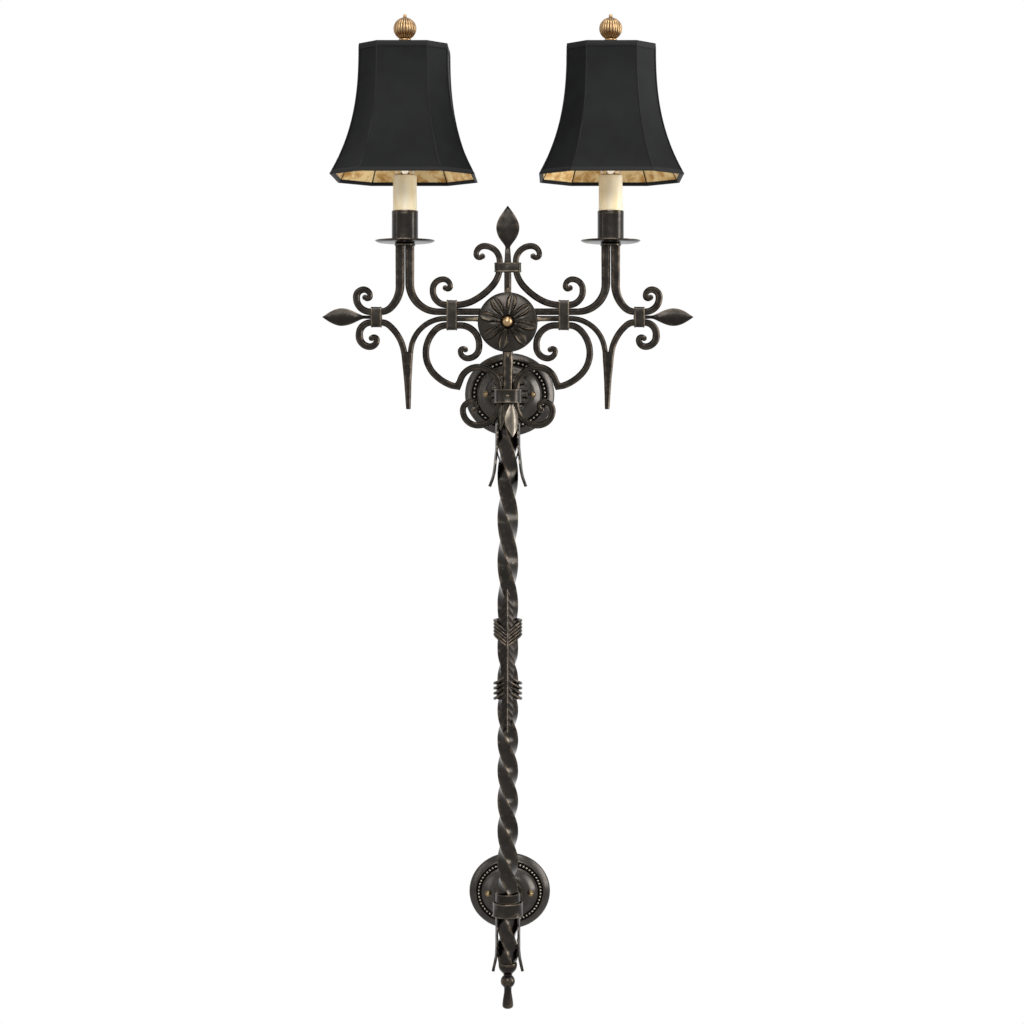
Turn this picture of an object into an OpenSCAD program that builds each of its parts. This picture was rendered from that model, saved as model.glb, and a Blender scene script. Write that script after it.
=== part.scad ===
// A two-light wrought torch sconce for a wall.
// The origin is the centre of the upper wall plate, on the wall plane. X is to the right,
// Z is up, and the object stands out from the wall towards -Y.

/* [Layout] */
// Distance between the centres of the two wall plates
plate_spacing = 671; // [600:1:740]
// Distance from the wall to the middle of the bars, the shaft and the lights
stand_off = 110; // [104:1:140]
// Distance from the middle to the axis of each light
light_x = 134; // [126:1:150]
// Height of the underside of the neck flange of each light
light_z = 192.3; // [180:0.5:215]
// Height of the row of arm bars
arm_row_z = 106.8; // [102:0.2:112]
// Height of the middle of the upper clamp
clamp_z = -3; // [-6:0.5:2]

/* [Bars] */
// Thickness of the forged bars, seen from the front
bar_w = 8.6; // [7:0.1:9]
// Depth of the forged bars, front to back
bar_d = 8.6; // [7:0.1:9.4]
// Thickness of the arm bars where they meet the light
arm_top_w = 11; // [9:0.1:11.4]
// Distance from the axis of a light to the middle of each of its arm bars
arm_offset = 6.4; // [6.2:0.1:7.4]
// Thickness of a scroll at its curled end
curl_w = 6; // [4:0.1:6.6]
// Radius of the round end of a curl
curl_ball_r = 3.6; // [3.2:0.1:4.2]
// Degrees that a curl turns on about its eye
curl_turn = 145; // [110:5:165]
// Thickness of the lower inner bar
inner_bar_w = 7; // [5:0.1:7.4]
// Width of the square centre bar below the rosette
centre_bar_w = 13.3; // [11:0.1:14]
// Width of the bar that carries the top spear
top_bar_w = 9; // [7:0.1:9.6]

/* [Shaft] */
// Side of the twisted square shaft
shaft_w = 19; // [16:0.1:20]
// Length of the neck that swells from the clamp to the full bar
shaft_neck = 34; // [28:1:44]
// Distance from the shaft's top to where its twist starts
twist_drop = 13.7; // [8:0.1:20]
// Distance from the tip of the front leaf down to where the twist gets tighter
twist_change_drop = 83.6; // [70:0.2:100]
// Length of the twisted shaft below the lower band
shaft_foot = 69.5; // [60:0.5:80]
// Length of one turn of the upper twist
upper_turn = 224; // [180:2:280]
// Length of one turn of the lower twist
lower_turn = 158; // [130:2:200]

/* [Wall plates] */
// Width of the upper wall plate
upper_plate_w = 121; // [116:1:140]
// Height of the upper wall plate
upper_plate_h = 112; // [108:1:130]
// Width of the lower wall plate
lower_plate_w = 109; // [104:1:130]
// Height of the lower wall plate
lower_plate_h = 102; // [98:1:120]
// Depth of a wall plate from the wall to its flat front
plate_depth = 20; // [17:0.5:26]
// Depth of a wall plate's outer rim
rim_depth = 9; // [6:0.5:11]
// How far the raised step of a wall plate lies inside its outline
plate_step_inset = 4; // [2:0.5:6]
// How far the dome of a wall plate lies inside its outline
plate_dome_inset = 18; // [15:0.5:20]
// Thickness of the sheet of a wall plate
plate_t = 2; // [1.4:0.1:2.6]
// Distance between the two fixing nuts of the upper plate
upper_nut_spacing = 63; // [56:0.5:68]
// Distance between the two fixing nuts of the lower plate
lower_nut_spacing = 57.5; // [52:0.5:61]
// Distance between the box screws of the upper crossbar
upper_screw_spacing = 88.9; // [84:0.1:94]
// Distance between the box screws of the lower crossbar
lower_screw_spacing = 69.85; // [68:0.05:80]
// Radius of the box screw holes
screw_hole_r = 2.2; // [1.8:0.1:2.6]
// Thickness of the crossbars
crossbar_t = 3; // [2:0.1:4]
// Width of the crossbars
crossbar_w = 20; // [16:0.5:26]
// Radius of the fixing studs
stud_r = 2.05; // [1.5:0.05:2.4]
// Radius of the cap nuts on the wall plates
cap_nut_r = 5; // [4:0.1:6]

/* [Arms to the wall] */
// Width of the square arms that reach out from the wall plates
wall_arm_w = 16; // [12:0.5:18]
// Radius of the flange of an arm
arm_flange_r = 18.5; // [14:0.5:20]
// Thickness of the flange of an arm
arm_flange_t = 4; // [3:0.2:6]
// Radius of the boss on the flange of an arm
arm_boss_r = 12; // [10.5:0.5:12.5]
// How far the boss of an arm stands out of its flange
arm_boss_rise = 3; // [1:0.5:6]
// Radius of the threaded end of an arm
arm_thread_r = 5; // [4:0.1:6]

/* [Bands and collars] */
// Thickness of the clamp and the lower band
band_t = 1.7; // [1.2:0.1:2.4]
// Height of the upper clamp
clamp_h = 17.6; // [14:0.2:20]
// Inner radius of the lower band
lower_band_r = 17.9; // [17.6:0.1:20]
// Height of the lower band
lower_band_h = 18; // [14:0.5:22]
// Height of the strap ring above the lower band
strap_ring_h = 11; // [8:0.5:14]
// Thickness of the collars
collar_t = 1.7; // [1.2:0.1:2.4]
// Length of the collars along the bars they hold
collar_len = 13.6; // [10:0.2:15]

/* [Spears] */
// Thickness of the shank of a side spear
spear_shank_t = 4.8; // [4:0.1:6]
// Distance from the middle of a side collar to the neck of its spear
spear_reach = 13.5; // [10:0.5:18]
// Length of a side spear's leaf
side_leaf_len = 57; // [44:1:70]
// Width of a side spear's leaf
side_leaf_w = 23; // [16:0.5:30]
// Height of the neck of the top spear
top_neck_z = 190; // [186:1:200]
// Length of the top spear's leaf
top_leaf_len = 54.8; // [44:0.2:70]
// Width of the top spear's leaf
top_leaf_w = 30; // [22:0.5:36]
// Thickness of the spear leaves
spear_t = 4.2; // [3:0.1:6]

/* [Rosette and leaves] */
// Height of the rosette's centre
rosette_z = 93; // [90:0.5:98]
// Radius of the rosette
rosette_r = 39; // [34:0.5:44]
// How far the rosette's dome rises
rosette_rise = 10; // [6:0.5:14]
// Length of each point of the leaf behind the rosette, from the centre
rosette_leaf_r = 43.6; // [40:0.2:50]
// Radius of the brass ball on the rosette
rosette_ball_r = 7; // [5:0.2:9]
// Height of the tip of the long front leaf
front_leaf_top_z = -253; // [-262:1:-240]
// Length of the long front leaf
front_leaf_len = 186; // [160:1:210]
// Width of the long front leaf
front_leaf_w = 23; // [16:0.5:28]
// Outer radius of the reeded bands
reed_r = 18.4; // [17.6:0.1:20]
// Height of each reeded band
reed_h = 25; // [18:0.5:32]
// Distance from the tip of the front leaf down to the middle of the upper reeded band
upper_reed_drop = 56; // [45:1:65]
// Distance from the tip of the front leaf down to the middle of the lower reeded band
lower_reed_drop = 132; // [110:1:145]
// Length of the upper side leaves
upper_side_leaf_len = 86; // [70:1:96]
// Length of the lower side leaves
lower_side_leaf_len = 89; // [80:1:96]
// Thickness of the leaves cut from sheet
sheet_leaf_t = 1.6; // [1:0.1:1.9]

/* [Bottom finial] */
// Radius of the cup at the shaft's foot
foot_cup_r = 12.15; // [10:0.1:14]
// Height of the cup at the shaft's foot
foot_cup_h = 15.5; // [12:0.5:20]
// Radius of the ball under the cup
foot_ball_r = 9; // [7:0.1:11]
// Length of the drop under the ball
foot_drop_len = 27; // [20:0.5:32]
// Radius of the drop at its lowest end
foot_drop_r = 7; // [5:0.1:8]

/* [Candles] */
// Radius of the drip pan
pan_r = 38.85; // [32:0.1:44]
// Radius of the neck flange under the pan
flange_r = 13.5; // [12.5:0.1:15]
// Height of the neck flange
flange_h = 4.2; // [3:0.1:6]
// Thickness of the drip pan
pan_t = 1.6; // [1.2:0.1:2]
// Outer radius of the candle cup
cup_r = 17.2; // [16.6:0.1:20]
// Height of the candle cup
cup_h = 40; // [30:0.5:46]
// Thickness of the candle cup's wall
cup_t = 1.3; // [0.8:0.1:1.4]
// Height of the candle sleeve
sleeve_h = 84; // [76:0.5:92]
// Thickness of the candle sleeve
sleeve_t = 1; // [0.6:0.1:1.2]
// Depth of the lampholder's bore
holder_bore_h = 27; // [25:0.5:30]
// Radius of the lamp's screw base
base_r = 13.2; // [13:0.05:13.3]
// Height of the lamp's glass
glass_h = 78; // [70:0.5:86]
// Largest radius of the lamp's glass
glass_r = 17.5; // [16:0.1:18.5]

/* [Shades] */
// Half of a shade's width at its lower edge
shade_bottom_w = 92; // [80:0.5:98]
// Half of a shade's width at its upper edge
shade_top_w = 56.5; // [50:0.5:64]
// Height of a shade
shade_h = 170; // [160:1:176]
// Height of a shade's lower edge above the light's flange
shade_rise = 88.6; // [86:0.2:100]
// Half of the length of a shade's straight sides, as a share of its half width
shade_flat = 0.565; // [0.5:0.005:0.65]
// How sharply a shade flares out at its lower edge
shade_flare = 2.6; // [1.6:0.1:3]
// Thickness of a shade's wall
shade_t = 1.5; // [1:0.1:2.5]
// Thickness of the wire and arms that carry a shade
carrier_t = 2.4; // [1.8:0.1:3]
// Radius of the stud that holds a shade's finial
finial_stud_r = 3.2; // [2.8:0.1:3.6]
// Radius of a shade finial's ball
finial_ball_r = 15; // [12:0.1:17]
// Height of the foot under a shade finial's ball
finial_foot_h = 10; // [9:0.5:14]

/* [Hidden] */

round_fn = 48;
bend_step = 15; // degrees turned between two points of a bend
row_gap = 0.3; // air between two bars that lie side by side
seat_gap = 0.3; // air between a piece and its seat
thread_gap = 0.06; // running clearance of a screwed pair
loose_gap = 0.2; // clearance round a piece that passes through another

mid_y = -stand_off;
bar_front_y = mid_y - bar_d / 2;
plate_front_y = -plate_depth;
arm_front_y = plate_front_y - arm_flange_t;
lower_z = -plate_spacing;

// Rows of bars at the collars
row_pitch = bar_w + row_gap;
top_row_z = arm_row_z + row_pitch;
inner_row_z = arm_row_z - row_pitch;
c_row_z = arm_row_z - 2 * row_pitch;
spear_row_z = arm_row_z - bar_w / 2 - row_gap - spear_shank_t / 2;
lower_row_z = spear_row_z - spear_shank_t / 2 - row_gap - bar_w / 2;

// Bends of the outer arm, from the light down to the side collar
outer_bend_1 = 42;
outer_bend_2 = 18;
outer_bend_out = outer_bend_1 * (1 - cos(45)) + outer_bend_2 * cos(45);
outer_bend_down = outer_bend_1 * sin(45) + outer_bend_2 * (1 - sin(45));
side_collar_x = light_x + arm_offset + outer_bend_out + collar_len / 2 - 1;
inner_bend_r = 37;

// Bends of the top scroll, from the middle collar up to the top collar
top_bend_1 = 50;
top_bend_2 = 85;
top_bend_3 = 40;
top_bend_in = top_bend_1 * sin(28) + top_bend_2 * (sin(48) - sin(28)) + top_bend_3 * (1 - sin(48));
top_bend_up = top_bend_1 * (1 - cos(28)) + top_bend_2 * (cos(28) - cos(48)) + top_bend_3 * cos(48);
scroll_w = 8; // thickness of the scrolls in the clamp and the top collar
top_scroll_x = top_bar_w / 2 + 2 + scroll_w / 2;
collar_half = collar_len / 2;
collar_ease = 1.5; // how far inside the middle collar the top scroll starts to bend
middle_collar_x = top_scroll_x + top_bend_in + collar_half - collar_ease;
top_collar_z = top_row_z + top_bend_up - 2;

s_scroll_x = centre_bar_w / 2 + row_gap / 2 + scroll_w / 2;
clamp_r = norm([s_scroll_x + scroll_w / 2, bar_d / 2]) + loose_gap;

// The shaft
shaft_r = shaft_w / 2 * sqrt(2);
shaft_top_z = clamp_z - clamp_h / 2 + 3;
shaft_bottom_z = lower_z - shaft_foot;
twist_change_z = front_leaf_top_z - twist_change_drop;
strap_ring_z = lower_z + lower_band_h / 2 + row_gap;

// The lights, as heights above the neck flange's underside
pan_seat = flange_h + pan_t;
sleeve_floor = pan_seat + 2;
sleeve_top = sleeve_floor + sleeve_h;
sleeve_r = cup_r - cup_t - loose_gap;
holder_r = sleeve_r - sleeve_t - loose_gap;
holder_top = sleeve_top - 0.6;
holder_floor = holder_top - holder_bore_h;
holder_bottom = holder_floor - 20;
nipple_r = 4.9;
glass_z = holder_top + 1.3;
glass_top = glass_z + glass_h;
shade_top = shade_rise + shade_h;
hub_z = shade_top - carrier_t - 2;
finial_z = shade_top + 0.4;
finial_stud_top = finial_z + 14;

// ---- Curves ----------------------------------------------------------------
// A place on a bent bar is [x, z, heading, thickness]. A move is [radius, degrees,
// thickness at its end], and turns left where the degrees are positive. A move of
// radius 0 runs straight on for the length that stands in place of the degrees.
function step_count(m) = m[0] == 0 ? 1 : max(1, ceil(abs(m[1]) / bend_step));
function after_move(p, m, f) =
    let (w = p[3] + (m[2] - p[3]) * f, turn = m[1] * f, side = sign(m[1]))
    m[0] == 0
        ? [p[0] + turn * cos(p[2]), p[1] + turn * sin(p[2]), p[2], w]
        : [
            p[0] + side * m[0] * (sin(p[2] + turn) - sin(p[2])),
            p[1] - side * m[0] * (cos(p[2] + turn) - cos(p[2])),
            p[2] + turn,
            w
        ];
function trace(p, moves, i = 0) =
    i == len(moves)
        ? [p]
        : concat(
            [for (k = [0 : step_count(moves[i]) - 1]) after_move(p, moves[i], k / step_count(moves[i]))],
            trace(after_move(p, moves[i], 1), moves, i + 1)
        );
// One path that runs back along a and on along b, which start at the same place
function joined(a, b) = concat(
    [for (i = [len(a) - 1 : -1 : 0]) [a[i][0], a[i][1], a[i][2] + 180, a[i][3]]],
    [for (i = [1 : len(b) - 1]) b[i]]
);
function edge_point(p, side) = [p[0] - side * sin(p[2]) * p[3] / 2, p[1] + side * cos(p[2]) * p[3] / 2];
function ribbon(path) = concat(
    [for (p = path) edge_point(p, 1)],
    [for (i = [len(path) - 1 : -1 : 0]) edge_point(path[i], -1)]
);
function last(list) = list[len(list) - 1];
function ellipse_points(w, h, n = 48) = [for (i = [0 : n - 1]) [w / 2 * cos(i * 360 / n), h / 2 * sin(i * 360 / n)]];
// Half width of a pointed leaf at the share t of its length, widest at the share wide
function leaf_half(t, w, wide) = w / 2 * sin(180 * pow(t, ln(0.5) / ln(wide)));
function leaf_points(len, w, wide, neck, n = 14) = concat(
    [for (i = [0 : n]) [i / n * len, max(leaf_half(i / n, w, wide), neck * (1 - i / n), i == n ? 0.2 : 0)]],
    [for (i = [n : -1 : 0]) [i / n * len, -max(leaf_half(i / n, w, wide), neck * (1 - i / n), i == n ? 0.2 : 0)]]
);

// Mirrors what it holds to the left when side is -1
module on_side(side) {
    mirror([side < 0 ? 1 : 0, 0, 0]) children();
}
// Stands a flat outline, drawn in X and Z, up in the plane of the bars
module upright(depth, y = mid_y) {
    translate([0, y + depth / 2, 0]) rotate([90, 0, 0]) linear_extrude(depth) children();
}
module bar(path, depth = bar_d) {
    upright(depth) polygon(ribbon(path));
}
module curl_end(p) {
    upright(bar_d) translate([p[0], p[1]]) circle(r = curl_ball_r, $fn = round_fn);
}
// A round piece that points along -Y, from y on the wall side to y - length
module pin_y(r, y, length) {
    translate([0, y, 0]) rotate([90, 0, 0]) cylinder(h = length, r = r, $fn = round_fn);
}

// ---- Wall plates and what fastens them --------------------------------------
module plate_layer(w, h, y, depth) {
    translate([0, y, 0]) rotate([90, 0, 0]) linear_extrude(depth) polygon(ellipse_points(w, h));
}
module plate_shell(w, h, inset, y, depth) {
    plate_layer(w - 2 * inset, h - 2 * inset, y, depth);
}
module wall_plate(w, h, nut_spacing) {
    step_rise = 3;
    step_depth = rim_depth + step_rise;
    color("#37322d") difference() {
        union() {
            plate_shell(w, h, 0, 0, rim_depth);
            plate_shell(w, h, plate_step_inset, -rim_depth, step_rise);
            plate_shell(w, h, plate_dome_inset, -step_depth, plate_depth - step_depth);
        }
        plate_shell(w, h, plate_t, 1, rim_depth - plate_t + 1);
        plate_shell(w, h, plate_step_inset + plate_t, 1, step_depth - plate_t + 1);
        plate_shell(w, h, plate_dome_inset + plate_t, 1, plate_depth - plate_t + 1);
        pin_y(arm_thread_r + loose_gap, 1, plate_depth + 2);
        for (side = [-1, 1]) {
            translate([side * nut_spacing / 2, 0, 0]) pin_y(stud_r + loose_gap, 1, plate_depth + 2);
        }
    }
}
module upper_wall_plate() {
    wall_plate(upper_plate_w, upper_plate_h, upper_nut_spacing);
}
module lower_wall_plate() {
    translate([0, 0, lower_z]) wall_plate(lower_plate_w, lower_plate_h, lower_nut_spacing);
}
module crossbar(screw_spacing, nut_spacing) {
    end_margin = 5.5;
    bar_len = screw_spacing + 2 * end_margin;
    color("#b9b6ad") difference() {
        translate([-bar_len / 2, -crossbar_t, -crossbar_w / 2]) cube([bar_len, crossbar_t, crossbar_w]);
        for (side = [-1, 1]) {
            translate([side * screw_spacing / 2, 0, 0]) pin_y(screw_hole_r, 1, crossbar_t + 2);
            translate([side * nut_spacing / 2, 0, 0]) pin_y(stud_r + thread_gap, 1, crossbar_t + 2);
        }
    }
}
module upper_crossbar() {
    crossbar(upper_screw_spacing, upper_nut_spacing);
}
module lower_crossbar() {
    translate([0, 0, lower_z]) crossbar(lower_screw_spacing, lower_nut_spacing);
}
stud_reach = 4; // how far the studs stand out of the wall plates
stud_end_y = plate_front_y - stud_reach;
module fixing_studs(nut_spacing) {
    for (side = [-1, 1]) {
        translate([side * nut_spacing / 2, 0, 0]) pin_y(stud_r, 0, -stud_end_y);
    }
}
module arm_nut() {
    nut_t = 5;
    nut_r = arm_thread_r + 4; // half the width across its corners
    translate([0, plate_front_y + plate_t + seat_gap + nut_t, 0]) rotate([90, 0, 0]) difference() {
        cylinder(h = nut_t, r = nut_r, $fn = 6);
        translate([0, 0, -1]) cylinder(h = nut_t + 2, r = arm_thread_r + thread_gap, $fn = round_fn);
    }
}
module upper_fasteners() {
    ground_head_r = 3;
    ground_head_t = 2;
    ground_z = crossbar_w / 2 - ground_head_r - 1;
    color("#a8a59c") {
        fixing_studs(upper_nut_spacing);
        arm_nut();
        translate([0, -crossbar_t, ground_z]) pin_y(ground_head_r, 0, ground_head_t);
    }
}
module lower_fasteners() {
    color("#a8a59c") translate([0, 0, lower_z]) {
        fixing_studs(lower_nut_spacing);
        arm_nut();
    }
}
module cap_nuts(nut_spacing) {
    base_t = 2.2;
    crown_h = base_t + 4.2;
    color("#b08d57") for (side = [-1, 1]) {
        translate([side * nut_spacing / 2, plate_front_y, 0]) rotate([90, 0, 0]) difference() {
            rotate_extrude($fn = round_fn) polygon([
                [0, 0], [cap_nut_r, 0], [cap_nut_r, base_t], [cap_nut_r * 0.86, base_t + 1.8],
                [cap_nut_r * 0.55, crown_h - 0.8], [0, crown_h]
            ]);
            translate([0, 0, -1]) cylinder(h = stud_reach + loose_gap + 1, r = stud_r + thread_gap, $fn = round_fn);
        }
    }
}
module upper_cap_nuts() {
    cap_nuts(upper_nut_spacing);
}
module lower_cap_nuts() {
    translate([0, 0, lower_z]) cap_nuts(lower_nut_spacing);
}

// ---- Arms that carry the shaft -------------------------------------------------
module arm_body(z_shift, end_y) {
    thread_len = plate_depth - crossbar_t - 3;
    arm_h = wall_arm_w - 2;
    translate([0, plate_front_y, 0]) pin_y(arm_flange_r, 0, arm_flange_t);
    translate([0, plate_front_y, 0]) pin_y(arm_boss_r, 0, arm_flange_t + arm_boss_rise);
    translate([0, plate_front_y + thread_len, 0]) pin_y(arm_thread_r, 0, thread_len + 1);
    translate([-wall_arm_w / 2, end_y, z_shift - arm_h / 2]) cube([wall_arm_w, arm_front_y - end_y + 1, arm_h]);
}
module upper_arm() {
    color("#37322d") arm_body(clamp_z, mid_y + clamp_r + band_t + seat_gap);
}
strap_r = shaft_r + seat_gap;
module lower_arm() {
    ring_z = strap_ring_z - lower_z;
    strap_t = 2.4;
    color("#37322d") translate([0, 0, lower_z]) difference() {
        union() {
            arm_body(0, mid_y + lower_band_r + band_t + seat_gap);
            translate([-wall_arm_w / 2, mid_y, ring_z])
                cube([wall_arm_w, stand_off - plate_depth - arm_flange_t - 1, strap_ring_h]);
            translate([0, mid_y, ring_z]) cylinder(h = strap_ring_h, r = strap_r + strap_t, $fn = round_fn);
        }
        translate([0, mid_y, ring_z - 1]) cylinder(h = strap_ring_h + 2, r = strap_r, $fn = round_fn);
    }
}
module upper_clamp() {
    rivet_r = 1.6;
    color("#4a443d") translate([0, mid_y, clamp_z]) {
        difference() {
            translate([0, 0, -clamp_h / 2]) cylinder(h = clamp_h, r = clamp_r + band_t, $fn = round_fn);
            translate([0, 0, -clamp_h / 2 - 1]) cylinder(h = clamp_h + 2, r = clamp_r, $fn = round_fn);
            pin_y(rivet_r, 0, clamp_r + band_t + 1);
        }
        pin_y(rivet_r - thread_gap, -clamp_r - 0.1, band_t + 0.6);
    }
}
module lower_band() {
    color("#4a443d") translate([0, mid_y, lower_z - lower_band_h / 2]) difference() {
        cylinder(h = lower_band_h, r = lower_band_r + band_t, $fn = round_fn);
        translate([0, 0, -1]) cylinder(h = lower_band_h + 2, r = lower_band_r, $fn = round_fn);
    }
}

// ---- The shaft --------------------------------------------------------------------
twist_start_z = shaft_top_z - twist_drop;
neck_end_z = shaft_top_z - shaft_neck;
function twist_at(z) =
    z > twist_start_z
        ? 0
        : z > twist_change_z
            ? (twist_start_z - z) * 360 / upper_turn
            : (twist_start_z - twist_change_z) * 360 / upper_turn + (twist_change_z - z) * 360 / lower_turn;
// Half side of the neck, which swells from the clamp down to the full bar
neck_top_w = centre_bar_w - 1.2;
function shaft_half(z) =
    let (f = min(1, max(0, (shaft_top_z - z) / shaft_neck)))
    (neck_top_w + (shaft_w - neck_top_w) * f * f) / 2;
shaft_steps = 88;
shaft_levels = concat(
    [for (i = [0 : 3]) shaft_top_z - shaft_neck * i / 4],
    [for (i = [0 : shaft_steps]) neck_end_z + (shaft_bottom_z - neck_end_z) * i / shaft_steps]
);
module shaft() {
    count = len(shaft_levels);
    corners = [[-1, -1], [1, -1], [1, 1], [-1, 1]];
    points = [
        for (z = shaft_levels)
            for (c = corners)
                let (a = twist_at(z), h = shaft_half(z))
                [h * (c[0] * cos(a) - c[1] * sin(a)), h * (c[0] * sin(a) + c[1] * cos(a)) + mid_y, z]
    ];
    faces = concat(
        [[3, 2, 1, 0]],
        [
            for (i = [0 : count - 2])
                for (k = [0 : 3])
                    let (a = 4 * i + k, b = 4 * i + (k + 1) % 4)
                    for (f = [[a, b, a + 4], [b, b + 4, a + 4]]) f
        ],
        [[for (k = [0 : 3]) 4 * (count - 1) + k]]
    );
    color("#332f2a") polyhedron(points, [for (f = faces) [for (k = [len(f) - 1 : -1 : 0]) f[k]]], convexity = 6);
}
module centre_bar() {
    top_z = arm_row_z + bar_w / 2;
    color("#3a3530") difference() {
        translate([-centre_bar_w / 2, bar_front_y, shaft_top_z]) cube([centre_bar_w, bar_d, top_z - shaft_top_z]);
        translate([0, bar_front_y - 1, rosette_z]) rotate([-90, 0, 0])
            cylinder(h = bar_d + 2, r = bolt_r + thread_gap, $fn = round_fn);
    }
}
module top_spear() {
    foot_z = arm_row_z + bar_w / 2;
    neck_w = 6;
    color("#3a3530") {
        upright(bar_d) polygon([
            [-top_bar_w / 2, foot_z], [top_bar_w / 2, foot_z],
            [top_bar_w / 2, top_collar_z + collar_half], [neck_w / 2, top_neck_z + 1],
            [-neck_w / 2, top_neck_z + 1], [-top_bar_w / 2, top_collar_z + collar_half]
        ]);
        translate([0, 0, top_neck_z])
            upright(spear_t) rotate(90) polygon(leaf_points(top_leaf_len, top_leaf_w, 0.47, neck_w / 2));
    }
}
module side_spear(side) {
    neck_w = 3.8;
    start = side_collar_x - collar_half;
    neck = side_collar_x + spear_reach;
    color("#3a3530") on_side(side) translate([0, 0, spear_row_z]) {
        upright(bar_d) polygon([
            [start, -spear_shank_t / 2], [side_collar_x + collar_half, -spear_shank_t / 2],
            [neck + 1, -neck_w / 2], [neck + 1, neck_w / 2],
            [side_collar_x + collar_half, spear_shank_t / 2], [start, spear_shank_t / 2]
        ]);
        translate([neck, 0, 0]) upright(spear_t) polygon(leaf_points(side_leaf_len, side_leaf_w, 0.55, neck_w / 2));
    }
}

// ---- Arms, bars and scrolls ---------------------------------------------------------
outer_arm_path = trace([light_x + arm_offset, light_z, -90, arm_top_w], [
    [0, light_z - arm_row_z - outer_bend_down, arm_top_w - 1], [outer_bend_1, 45, bar_w + 0.4],
    [outer_bend_2, 45, bar_w], [0, collar_len + 0.2, bar_w], [18, 90, 9.2], [0, 1.2, 9.4],
    [9.6, 90, 8.4], [8.2, 90, curl_w + 1.2], [3.6, curl_turn, curl_w + 0.4]
]);
inner_arm_path = trace([light_x - arm_offset, light_z, -90, arm_top_w], [
    [0, light_z - arm_row_z - inner_bend_r, arm_top_w - 1], [inner_bend_r, -90, bar_w],
    [0, light_x - arm_offset - inner_bend_r - centre_bar_w / 2 - row_gap / 2, bar_w]
]);
lower_bar_path = joined(
    trace([side_collar_x, lower_row_z, 180, bar_w], [
        [0, collar_half, bar_w], [15, 40, 8.4], [57, 43, 8]
    ]),
    trace([side_collar_x, lower_row_z, 0, bar_w], [
        [0, collar_half, bar_w], [15.3, -90, 9.4], [0, 2.2, 9.8], [14, -90, 8.8],
        [8.8, -90, 7.8], [3.8, -curl_turn, curl_w + 0.4]
    ])
);
lower_bar_end = lower_bar_path[0];
spike_top_z = lower_bar_end[1] + 1.4;
spike_top_w = 15.6;
spike_tip_w = 6;
spike_len = 73.5;
spike_x = lower_bar_end[0] + 4 - spike_top_w / 2;
spike_tip_x = spike_x - 1.6;

// The lower inner bar leaves its row at the middle collar and lands on the spike
inner_drop_r = 45;
inner_drop_turn = 80;
inner_end_x = spike_x - spike_top_w / 2 + inner_bar_w / 2;
inner_tail = (inner_row_z - inner_drop_r * (1 - cos(inner_drop_turn)) - spike_top_z - 0.9) / sin(inner_drop_turn);
inner_run = inner_end_x - middle_collar_x - inner_drop_r * sin(inner_drop_turn) - inner_tail * cos(inner_drop_turn);
inner_bar_path = joined(
    trace([middle_collar_x, inner_row_z, 180, inner_bar_w], [
        [0, middle_collar_x - centre_bar_w / 2 - row_gap / 2, inner_bar_w]
    ]),
    trace([middle_collar_x, inner_row_z, 0, inner_bar_w], [
        [0, inner_run, inner_bar_w], [inner_drop_r, -inner_drop_turn, inner_bar_w], [0, inner_tail, inner_bar_w]
    ])
);
top_scroll_path = joined(
    trace([middle_collar_x, top_row_z, 180, bar_w], [
        [0, collar_half - collar_ease, bar_w], [top_bend_1, -28, bar_w], [top_bend_2, -20, bar_w],
        [top_bend_3, -42, scroll_w], [0, 6, scroll_w], [19.9, -90, scroll_w], [10.8, -90, 7],
        [4.5, -curl_turn, curl_w]
    ]),
    trace([middle_collar_x, top_row_z, 0, bar_w], [
        [0, collar_half, bar_w], [18, 90, 8.2], [0, 2, 8.2], [13.4, 90, 7.6],
        [9.4, 90, curl_w + 0.8], [3.5, curl_turn, curl_w]
    ])
);
c_scroll_path = joined(
    trace([middle_collar_x, c_row_z, 180, bar_w], [
        [0, collar_half + 4.2, bar_w], [24.5, 90, bar_w], [0, 3.4, bar_w], [15, 90, 8],
        [9.4, 90, curl_w + 0.8], [3.5, curl_turn, curl_w]
    ]),
    trace([middle_collar_x, c_row_z, 0, bar_w], [
        [0, collar_half, bar_w], [21, -45, bar_w], [42, -45, bar_w], [40, -45, bar_w], [61, -34, bar_w]
    ])
);
s_scroll_path = joined(
    trace([s_scroll_x, clamp_z, 90, scroll_w], [
        [0, clamp_h / 2 + 1, scroll_w], [28, -90, 8.4], [24, -70, 8.4], [0, 3.8, 8.4]
    ]),
    trace([s_scroll_x, clamp_z, -90, scroll_w], [
        [0, clamp_h / 2 + 1.2, scroll_w], [28.2, 90, 8.4], [19.5, 90, 8], [11.6, 90, curl_w + 0.8],
        [6, curl_turn, curl_w]
    ])
);

module outer_arm(side) {
    color("#3a3530") on_side(side) {
        bar(outer_arm_path);
        curl_end(last(outer_arm_path));
    }
}
module inner_arm(side) {
    color("#3a3530") on_side(side) bar(inner_arm_path);
}
module lower_bar(side) {
    color("#3a3530") on_side(side) {
        bar(lower_bar_path);
        curl_end(last(lower_bar_path));
        upright(bar_d) polygon([
            [spike_x - spike_top_w / 2, spike_top_z], [spike_x + spike_top_w / 2, spike_top_z],
            [spike_tip_x + spike_tip_w / 2 + 2, spike_top_z - spike_len / 2],
            [spike_tip_x + spike_tip_w / 2, spike_top_z - spike_len],
            [spike_tip_x - spike_tip_w / 2, spike_top_z - spike_len],
            [spike_tip_x - spike_tip_w / 2 - 1.6, spike_top_z - spike_len / 2]
        ]);
    }
}
module inner_bar(side) {
    color("#3a3530") on_side(side) bar(inner_bar_path);
}
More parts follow.
